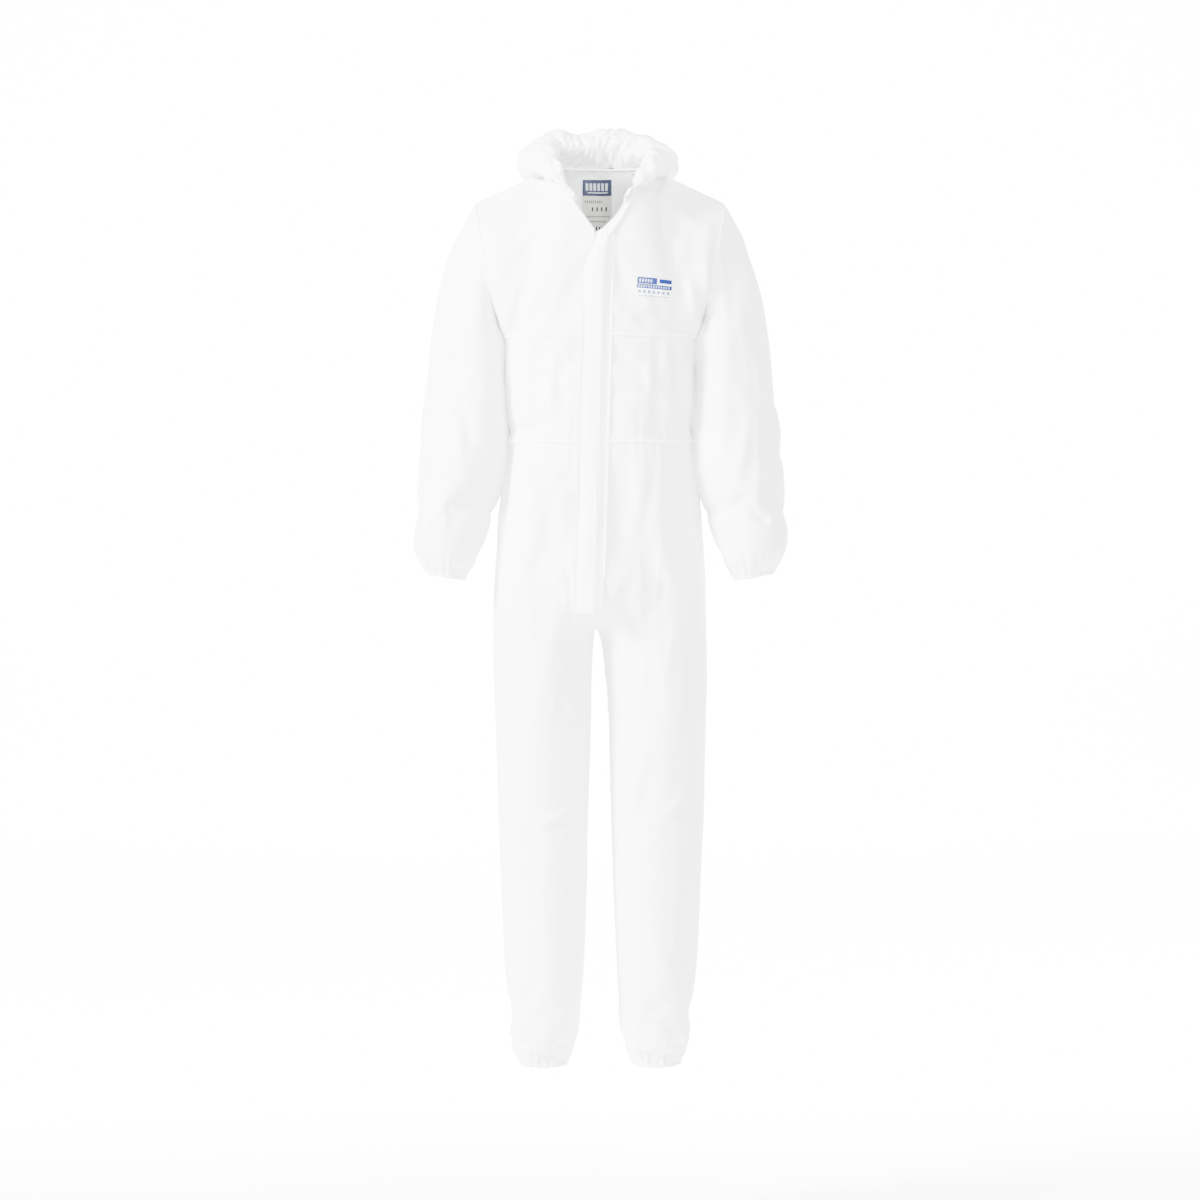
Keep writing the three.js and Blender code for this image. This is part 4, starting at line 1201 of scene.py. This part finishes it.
def overlock(name, path, body, nodes, width=6.2, height=3.0, lift=0.7):
    """A raised seam with its threads, riding on one body."""
    # The ridge takes the brighter cloth: partly its layers, partly painted light.
    ridge = dress(swept(name, path.shifted(0, lift), rounded(width, height)), layered_and_painted_lit_white, "nonwoven")
    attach(ridge, body)
    if nodes:
        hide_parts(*nodes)
    sizes = {"Spacing": 0.0030, "Thread_Length": width * 0.92 * MM, "Thread_Radius": 0.00022, "Slant": 0.35, "Seed": 3}
    threads = laid_along(f"{name}_threads", path.shifted(0, lift + height / 2 - 0.08), stitches, **sizes)
    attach(threads, body)


# %% Seams of the body
for hand in hands:
    chest_seam = path_of(skin, seam_between(skin, [f"chest_front_{hand}"], [f"midriff_{hand}"]))
    overlock(f"chest_seam_front_{hand}", chest_seam, "torso", [f"chest_seam_{hand}"])
    armhole = path_of(skin, seam_between(skin, [f"arm_{hand}"], [f"chest_front_{hand}", f"chest_back_{hand}"]))
    overlock(f"armhole_ridge_{hand}", armhole, "torso", [f"armhole_seam_{hand}"], width=3.8, height=1.8)
backs = [f"chest_back_{hand}" for hand in hands]
middles, seats = [f"midriff_{hand}" for hand in hands], [f"seat_{hand}" for hand in hands]
overlock("chest_seam_across_back", path_of(skin, seam_between(skin, backs, middles)), "torso", ["chest_seam_back"])
waist_path = path_of(skin, seam_between(skin, middles, seats))
overlock("waist_ridge", waist_path, "torso", ["waist_seam"], width=6.4, height=3.2)
for word, pair in (("chest", backs), ("midriff", middles), ("seat", seats)):
    middle_seam = path_of(skin, seam_between(skin, pair[:1], pair[1:]))
    overlock(f"middle_seam_{word}", middle_seam, "torso", [], width=3.2, height=1.3)

# The hood is sewn on along the neckline, and the seam shows as a pale cord inside the open neck.
places = np.linspace(0.5, 0.0, 25)
half_neck = back_neckline(places) * MM
neck_points = np.concatenate([half_neck, (half_neck * np.array([-1, 1, 1]))[-2::-1]])
neck_path = Path(neck_points, np.tile([0, 0, 1.0], (len(neck_points), 1)), soften=0)
overlock("neck_ridge", neck_path.shifted(3.2, 1.0), "torso", [], width=4.6, height=3.6)

# %% [markdown]
# ## Hems with elastic
# At the cuffs and ankles the cloth is turned in over a narrow elastic. What shows is a puckered roll at the end of each
# sleeve and leg. It is swept round the open edge, and its section grows and shrinks unevenly, as puckers do.


# %% Hems
def hem(name, found, source, body, nodes, width, height, seed):
    ring = path_of(source, found, soften=3)
    angle = np.linspace(0, 2 * math.pi, len(ring.points), endpoint=False)
    pucker = 1 + 0.22 * pleats(angle, 21, seed)
    roll = dress(swept(name, ring, rounded(height, width, 12, 2.2), pucker), cloth_white, "nonwoven")
    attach(roll, body)
    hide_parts(*nodes)


for hand in hands:
    cuff = open_edge(skin, [f"forearm_{hand}"])
    hem(f"cuff_hem_{hand}", cuff, skin, f"forearm_{hand}", [f"cuff_elastic_{hand}"], 3.6, 7.0, 41)
    ankle = open_edge(skin, [f"leg_{hand}"])
    hem(f"ankle_hem_{hand}", ankle, skin, f"lower_leg_{hand}", [f"ankle_elastic_{hand}"], 3.6, 7.0, 43)

# The waist elastic is sewn inside, just under the waist seam.
inner_waist = Path(waist_path.points - np.array([0, 0, 0.0055]), waist_path.up, soften=2).shifted(0, -2.2)
waist_wave = 1 + 0.08 * pleats(np.linspace(0, 2 * math.pi, len(inner_waist.points)), 60, 44)


def elastic_finish():
    g = Graph("rubber_elastic")
    u, v, _ = g.split(g.uv())
    cords = (v * 1400).sin()
    cross = (u * 4200).sin()
    tone = g.mix(cords * 0.5 + 0.5, (0.78, 0.78, 0.75, 1), (0.90, 0.90, 0.87, 1))
    return g.finish(tone, 0.62 + cross * 0.06, g.bump(cords * 0.7 + cross * 0.3, 0.5, 0.0003))


elastic = swept("waist_elastic_band", inner_waist, rounded(8.0, 1.0, 12, 6), waist_wave)
dress(elastic, elastic_finish(), "elastic")
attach(elastic, "torso")
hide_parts("waist_elastic")

# The casing at the hood's face edge is tucked down inside the roll.


def far_edge(source, names):
    """The edge of these panels where the rows end, found from the cloth coordinates."""
    chosen = source.of(names)
    quads, rows = source.quads[chosen], source.uv[chosen][..., 1]
    edges = np.stack([quads, np.roll(quads, -1, axis=1)], axis=-1).reshape(-1, 2)
    ends = np.stack([rows, np.roll(rows, -1, axis=1)], axis=-1).reshape(-1, 2)
    return chain(np.unique(np.sort(edges[ends.min(axis=1) > rows.max() - 1e-5], axis=1), axis=0))


rim_line, _ = far_edge(hood, ["hood_left", "hood_right"])
rim_path = Path(hood.points[rim_line], hood.normals[rim_line], soften=3)
print("hood rim", len(rim_line), "points")

rim_wave = 1 + 0.2 * pleats(np.linspace(0, 2 * math.pi, len(rim_line)), 34, 45)
# The casing takes the brighter cloth: partly its layers, partly painted light.
rim = dress(swept("hood_rim_casing", rim_path, rounded(7.0, 3.4, 12, 2.3), rim_wave), layered_and_painted_lit_white, "nonwoven")
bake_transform(rim)
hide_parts("hood_face_elastic")

# %% [markdown]
# ## The zip
# A coil zip has two woven tapes with a spiral of nylon sewn to each facing edge. The turns are all alike, so Geometry
# Nodes lay one turn after another. Below the open neck the two coils are locked, and up the neck they part with their
# tapes. The slider, its pull and the stop keep their modelled shapes and get a nylon finish.


# %% Zip finishes
def nylon_finish():
    g = Graph("white_nylon")
    haze = g.noise(g.place(), 700.0, 3.0, 0.6)
    flow = g.noise(g.place(), 90.0, 2.0, 0.5)
    color = g.mix(flow, (0.86, 0.87, 0.87, 1), (0.93, 0.93, 0.92, 1))
    return g.finish(color, 0.28 + haze * 0.16, g.bump(haze, 0.12, 0.0002), Coat_Weight=0.15, Coat_Roughness=0.2)


def tape_finish():
    g = Graph("woven_tape")
    u, v, _ = g.split(g.uv())
    warp, weft = (v * 9000).sin(), (u * 7000).sin()
    weave = warp * weft
    color = g.mix(weave * 0.5 + 0.5, (0.90, 0.905, 0.91, 1), (0.965, 0.965, 0.97, 1))
    return g.finish(color, 0.7 + weave * 0.08, g.bump(weave, 0.5, 0.0003), Sheen_Weight=0.2)


nylon, tape_cloth = nylon_finish(), tape_finish()
turns = repeat_along("coil_turns", coil_turn, nylon)


def repaint(node_name, material):
    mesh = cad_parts[node_name].data
    mesh.materials.clear()
    mesh.materials.append(material)


for node_name in ("zip_slider", "zip_pull", "zip_bottom_stop"):
    repaint(node_name, nylon)


# %% Tapes and coils
def closure_point(x, forward, drop):
    return xyz(closure(drop) + x, -front_depth(drop) - forward, -np.asarray(drop, float)) * MM


def front_path(points):
    """A path down the front, on cloth that faces forward."""
    return Path(points, np.tile([0, -1.0, 0], (len(points), 1)), soften=0)


def coil_on(name, path, body, nodes, lean, seed):
    sizes = {"Spacing": 0.00125, "Thread_Length": 0.00125, "Thread_Radius": 0.00032, "Slant": lean, "Seed": seed}
    coil = laid_along(name, path, turns, **sizes)
    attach(coil, body)
    if nodes:
        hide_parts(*nodes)


zip_drops = np.linspace(V_DROP + 2, ZIP_END, 120)
tape_drops = np.linspace(V_DROP + 2, HIP + 6, 130)
for side, hand in ((1, "left"), (-1, "right")):
    tape_path = front_path(closure_point(side * 7.0, -3.8, tape_drops))
    tape = dress(swept(f"zip_tape_woven_{hand}", tape_path, rounded(14.2, 0.8, 12, 8)), tape_cloth, "tape")
    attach(tape, "torso")
    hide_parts(f"zip_tape_{hand}")
    coil_line = front_path(closure_point(side * 2.2, -1.8, zip_drops))
    coil_on(f"zip_coil_turns_{hand}", coil_line, "torso", [f"zip_coil_{hand}"], 0.25 * side, 7)


# %% [markdown]
# ## Bands up the open neck
# Above the slider both front edges open into the V. On the wearer's right only the tape shows, as a narrow bright
# edge. On the left the storm flap goes on up, turned back as a broad band. Each band is laid on the chest surface at a
# measured distance from the neckline, so it follows the curve of the neck.

# %% Neck bands
def neck_band(name, side, s_range, width_range, lift, columns, rows, thick, curl=0.0):
    """A band over the chest beside the neckline: s along the edge, width in millimetres down the chest from it."""
    s, w = np.meshgrid(np.linspace(*s_range, columns), np.linspace(*width_range, rows), indexing="ij")
    near = chest_point(side, 1, s, np.full(s.shape, 0.9)) - chest_point(side, 1, s, np.ones(s.shape))
    t = 1 - 0.1 * w / np.linalg.norm(near, axis=-1)
    ds = chest_point(side, 1, s + 0.004, t) - chest_point(side, 1, s - 0.004, t)
    dt = chest_point(side, 1, s, t + 0.004) - chest_point(side, 1, s, t - 0.004)
    normal = unit(np.cross(ds, dt)) * side
    edge = np.minimum(w - width_range[0], width_range[1] - w)
    proud = lift + 0.8 * smooth(edge, 0, 4) + curl * smooth(w, *width_range)
    grid = chest_point(side, 1, s, t) + normal * proud[..., None]
    band = Garment()
    band.lay(name, grid, -side, 0, 0)
    band = Skin(band.welded(f"{name}_grid"))
    band.push(0.0005 * ripples(band.points, (0.012, 0.02, 0.02), 14))
    return shell(name, band, [name], wall=thick * MM), grid, normal


tape_left, grid_left, normal_left = neck_band("neck_tape_left", 1, (0.0, 0.42), (-1.5, 6), 1.4, 60, 8, 0.8)
tape_right, grid_right, normal_right = neck_band("neck_tape_right", -1, (0.0, 0.38), (-1.5, 7.5), 2.4, 60, 8, 0.9)
band_left, _, _ = neck_band("storm_band_left", 1, (0.0, 0.44), (0.5, 18), 3.0, 60, 14, 1.3, curl=3.5)
for piece, node_name, material, word in (
    (tape_left, "zip_tape_open_left", tape_cloth, "tape"),
    (tape_right, "zip_tape_open_right", tape_cloth, "tape"),
    # The storm band takes the brighter cloth: partly its double layer, partly painted light.
    (band_left, "storm_flap_open", layered_and_painted_lit_white, "nonwoven"),
):
    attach(dress(piece, material, word), "torso")
    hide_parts(node_name)
    sheet_of(piece)
for hand, grid, normal in (("left", grid_left, normal_left), ("right", grid_right, normal_right)):
    line = Path(grid[:, 1] * MM, normal[:, 1], soften=0)
    coil_on(f"neck_coil_{hand}", line.shifted(0, 1.0), "torso", [], 0.25, 9)

# %% [markdown]
# ## Storm flap
# The flap is a long double strip of cloth, sewn down on the wearer's left and free on the right, over the zip. It
# arches a little over the slider, has pressed creases along its length, and its free corner hangs slightly proud at
# the bottom. Under its free edge is a strip of adhesive behind release paper.

# %% Flap
FLAP_SEWN, FLAP_FREE, FLAP_TOP = 22.0, -25.0, 114.0


def flap_top(u):
    """The top edge climbs beside the open neck toward the sewn side."""
    return FLAP_TOP - 24 * (1 - np.minimum(u, 1)) ** 1.3


def flap_point(u, v, under=0.0):
    drop = lerp(flap_top(u), FLAP_END, v)
    free = lerp(-5.0, FLAP_FREE, smooth(drop, V_DROP, 186))
    rise = smooth(u, 0, 0.36) * (1 - 0.5 * smooth(u, 0.62, 1))
    bulge = lerp(11.6, 6.4, smooth(drop, V_DROP + 40, V_DROP + 110)) * smooth(drop, V_DROP - 14, V_DROP + 26)
    proud = 2.5 * smooth(drop, 690, 748) * (1 - u)
    return closure_point(lerp(FLAP_SEWN, free, u), 1.6 + rise * bulge + proud - under, drop) / MM


flap = Garment()
u, v = np.meshgrid(np.linspace(0, 1, 19), np.linspace(0, 1, 190), indexing="ij")
flap.lay("flap", flap_point(u, v), 1, 0, 0)
flap = Skin(flap.welded("flap_grid"))
creases = 1 - np.abs(ripples(flap.points, (0.010, 0.010, 0.30), 15))
sag = ripples(flap.points, (0.05, 0.05, 0.11), 16)
held = smooth(flap.points[:, 0] * -1000 + closure(flap.points[:, 2] * -1000) + FLAP_SEWN, 0, 12)
flap.push((0.0009 * (creases - 0.6) + 0.0014 * sag) * held)
# The flap takes the brighter cloth: partly its double layer, partly painted light.
storm = dress(shell("storm_flap_cloth", flap, ["flap"], wall=1.1 * MM), layered_and_painted_lit_white, "nonwoven")
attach(storm, "flap")
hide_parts("storm_flap")
sheet_of(storm)

# The cloth is folded over along the free edge, which leaves a soft round edge. The edge takes the darker plain cloth,
# which makes a painted line of shade along the flap's free edge.
fold_v = np.linspace(0.002, 0.998, 170)
fold_line = front_path(flap_point(np.ones(len(fold_v)), fold_v) * MM)
folded = dress(swept("flap_folded_edge", fold_line.shifted(0, -0.4), rounded(2.4, 2.8)), cloth_white, "nonwoven")
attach(folded, "flap")

flap_drops = np.linspace(V_DROP + 4, HIP, 130)
sewn_line = front_path(closure_point(FLAP_SEWN + 1.5, 0.9, flap_drops))
overlock("flap_ridge", sewn_line, "torso", ["flap_seam"], width=4.4, height=2.0)
for word, x in (("free", -0.86), ("sewn", 0.80)):
    drops = np.linspace(200 if word == "free" else 130, FLAP_END - 4, 150)
    u = (FLAP_SEWN - x * (25 if word == "free" else 20)) / (FLAP_SEWN - FLAP_FREE)
    line_points = flap_point(np.full(len(drops), u), (drops - flap_top(u)) / (FLAP_END - flap_top(u))) * MM
    line = front_path(line_points).shifted(0, 0.9)
    sizes = {"Spacing": 0.0042, "Thread_Length": 0.0028, "Thread_Radius": 0.00020, "Slant": 1.5708, "Seed": 5}
    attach(laid_along(f"flap_topstitch_{word}", line, stitches, **sizes), "flap")


def paper_finish():
    g = Graph("release_paper")
    wax = g.noise(g.place(), 60.0, 4.0, 0.6)
    color = g.mix(wax, (0.80, 0.84, 0.88, 1), (0.88, 0.91, 0.94, 1))
    return g.finish(color, 0.22 + wax * 0.12, g.bump(wax, 0.1, 0.0003), Coat_Weight=0.3, Coat_Roughness=0.15)


paper = Garment()
u, v = np.meshgrid(np.linspace(0.74, 0.95, 5), np.linspace(0.12, 0.96, 90), indexing="ij")
paper.lay("paper", flap_point(u, v, under=1.9), 1, 0, 0)
paper = shell("flap_release_paper", Skin(paper.welded("paper_grid")), ["paper"], wall=0.25 * MM)
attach(dress(paper, paper_finish(), "adhesive"), "flap")
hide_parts("flap_adhesive")
sheet_of(paper)

# %% [markdown]
# ## Labels
# A printed film label is stuck on the left chest, and a woven care label hangs inside the back of the neck. Both are
# laid on the finished cloth by casting rays at it, so they take its curve. Their print is plain bars and dots in a blue
# header and grey rows, made with shader maths on the label's own coordinates from 0 to 1. The care label's ground and
# header are darker than its own colours: painted shade, for the shadow inside the neck.


# %% Labels
def laid_label(name, target, middle, size, tilt, start_y, toward, lift, thick, columns=26, rows=18):
    mesh = target.data
    tree = BVHTree.FromPolygons([v.co for v in mesh.vertices], [p.vertices for p in mesh.polygons])
    grid = np.zeros((columns, rows, 3))
    for i, j in np.ndindex(columns, rows):
        across, down = (i / (columns - 1) - 0.5) * size[0], (0.5 - j / (rows - 1)) * size[1]
        x = middle[0] + across * math.cos(tilt) + down * math.sin(tilt)
        z = middle[1] + down * math.cos(tilt) - across * math.sin(tilt)
        hit, *_ = tree.ray_cast(Vector((x, start_y, z)), Vector((0, toward, 0)))
        grid[i, j] = (x, hit.y if hit else np.nan, z)
    ys = grid[..., 1]
    ys[np.isnan(ys)] = np.nanmean(ys)
    for _ in range(3):
        ys[1:-1, 1:-1] = (ys[:-2, 1:-1] + ys[2:, 1:-1] + ys[1:-1, :-2] + ys[1:-1, 2:]) / 4
    grid[..., 1] = ys - lift
    flat = Garment()
    flat.lay(name, grid / MM, -1, 0, 0)
    label = Skin(flat.welded(f"{name}_grid"))
    label.uv = label.uv / label.uv.reshape(-1, 2).max(axis=0)
    print(name, "normal", label.normals.mean(axis=0).round(2))
    return shell(name, label, [name], wall=thick)


def label_print(name, ground, band, header, rows, rough, sheen):
    """Header blocks across the top, then rows of small marks: all generic bars."""
    g = Graph(name)
    u, down, _ = g.split(g.uv())

    def between(x, low, high, soft=0.006):
        return x.above(low - soft, low + soft) * (1 - x.above(high - soft, high + soft))

    color = g.mix(g.noise(g.place(), 260.0, 3.0), ground, tuple(c * 0.97 for c in ground[:3]) + (1,))
    for left, right, top, bottom in header:
        color = g.mix(between(u, left, right) * between(down, top, bottom), color, band)
    for top, bottom, count, fill, shade, left, right in rows:
        cell = ((u - left) * (count / (right - left))).fraction()
        mark = between(cell, 0.1, 0.1 + fill, 0.06) * between(down, top, bottom) * between(u, left, right)
        color = g.mix(mark, color, shade)
    grain = g.noise(g.uv(), 300.0, 2.0)
    return g.finish(color, rough + grain * 0.1, g.bump(grain, 0.15, 0.0002), Specular_IOR_Level=sheen)


# The second colour is the care label's slate header, darkened nearly to black: painted shade inside the neck.
BLUE, SLATE_WITH_PAINTED_SHADE = (0.005, 0.017, 0.115, 1), (0.030, 0.034, 0.060, 1)
MARK, GREY = (0.10, 0.13, 0.27, 1), (0.045, 0.042, 0.040, 1)
film = label_print(
    "label_film_print",
    (0.93, 0.935, 0.95, 1),
    BLUE,
    [(0.02, 0.57, 0.04, 0.35), (0.62, 0.97, 0.07, 0.28), (0.02, 0.98, 0.36, 0.56)],
    [
        (0.13, 0.26, 5, 0.45, (0.45, 0.50, 0.68, 1), 0.08, 0.46),
        (0.42, 0.50, 13, 0.45, (0.36, 0.42, 0.62, 1), 0.06, 0.94),
        (0.64, 0.78, 7, 0.6, MARK, 0.06, 0.96),
        (0.86, 0.94, 18, 0.65, MARK, 0.10, 0.90),
    ],
    0.3,
    0.25,
)
woven = label_print(
    "label_cloth_print",
    # Ground darker than the label's own beige: painted shade, for the shadow inside the neck.
    (0.47, 0.455, 0.43, 1),
    SLATE_WITH_PAINTED_SHADE,
    [(0.0, 1.0, 0.0, 0.30)],
    [
        (0.07, 0.20, 6, 0.60, (0.44, 0.45, 0.48, 1), 0.10, 0.90),
        (0.23, 0.25, 1, 0.85, (0.34, 0.35, 0.38, 1), 0.10, 0.90),
        (0.38, 0.43, 9, 0.5, GREY, 0.08, 0.70),
        (0.50, 0.58, 4, 0.4, GREY, 0.30, 0.92),
        (0.66, 0.69, 14, 0.6, GREY, 0.08, 0.92),
        (0.75, 0.78, 12, 0.6, GREY, 0.08, 0.80),
        (0.86, 0.93, 5, 0.5, GREY, 0.45, 0.95),
    ],
    0.6,
    0.15,
)
FILM_SIZE, CARE_SIZE = (0.062, 0.036), (0.050, 0.092)
chest_cloth = bpy.data.objects["chest_front_cloth_left"]
tag = laid_label("chest_label_film", chest_cloth, (0.0905, -0.2070), FILM_SIZE, 0.07, -0.5, 1, 0.0009, 0.0004)
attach(dress(tag, film, "label_film"), "torso")
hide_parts("chest_label")
sheet_of(tag, flat=FILM_SIZE)


def back_inside():
    """One object of both halves of the back, only to cast rays at."""
    points, faces, start = [], [], 0
    for hand in hands:
        mesh = bpy.data.objects[f"chest_back_cloth_{hand}"].data
        points += [v.co[:] for v in mesh.vertices]
        faces += [[i + start for i in p.vertices] for p in mesh.polygons]
        start = len(points)
    joined = bpy.data.meshes.new("back_pair")
    joined.from_pydata(points, [], faces)
    return bpy.data.objects.new("back_pair", joined)


neck_tag = laid_label("neck_label_cloth", back_inside(), (-0.005, -0.060), CARE_SIZE, 0.0, 0.0, 1, 0.0022, 0.0004)
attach(dress(neck_tag, woven, "label_cloth"), "torso")
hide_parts("neck_label")
sheet_of(neck_tag, flat=CARE_SIZE)

# %% [markdown]
# ## Last checks
# The looks may stand a little proud of the model, as cloth does. The CAD parts that are still shown are listed.

# %% What is still shown
print("CAD nodes still shown:", [name for name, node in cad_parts.items() if not node.hide_render])
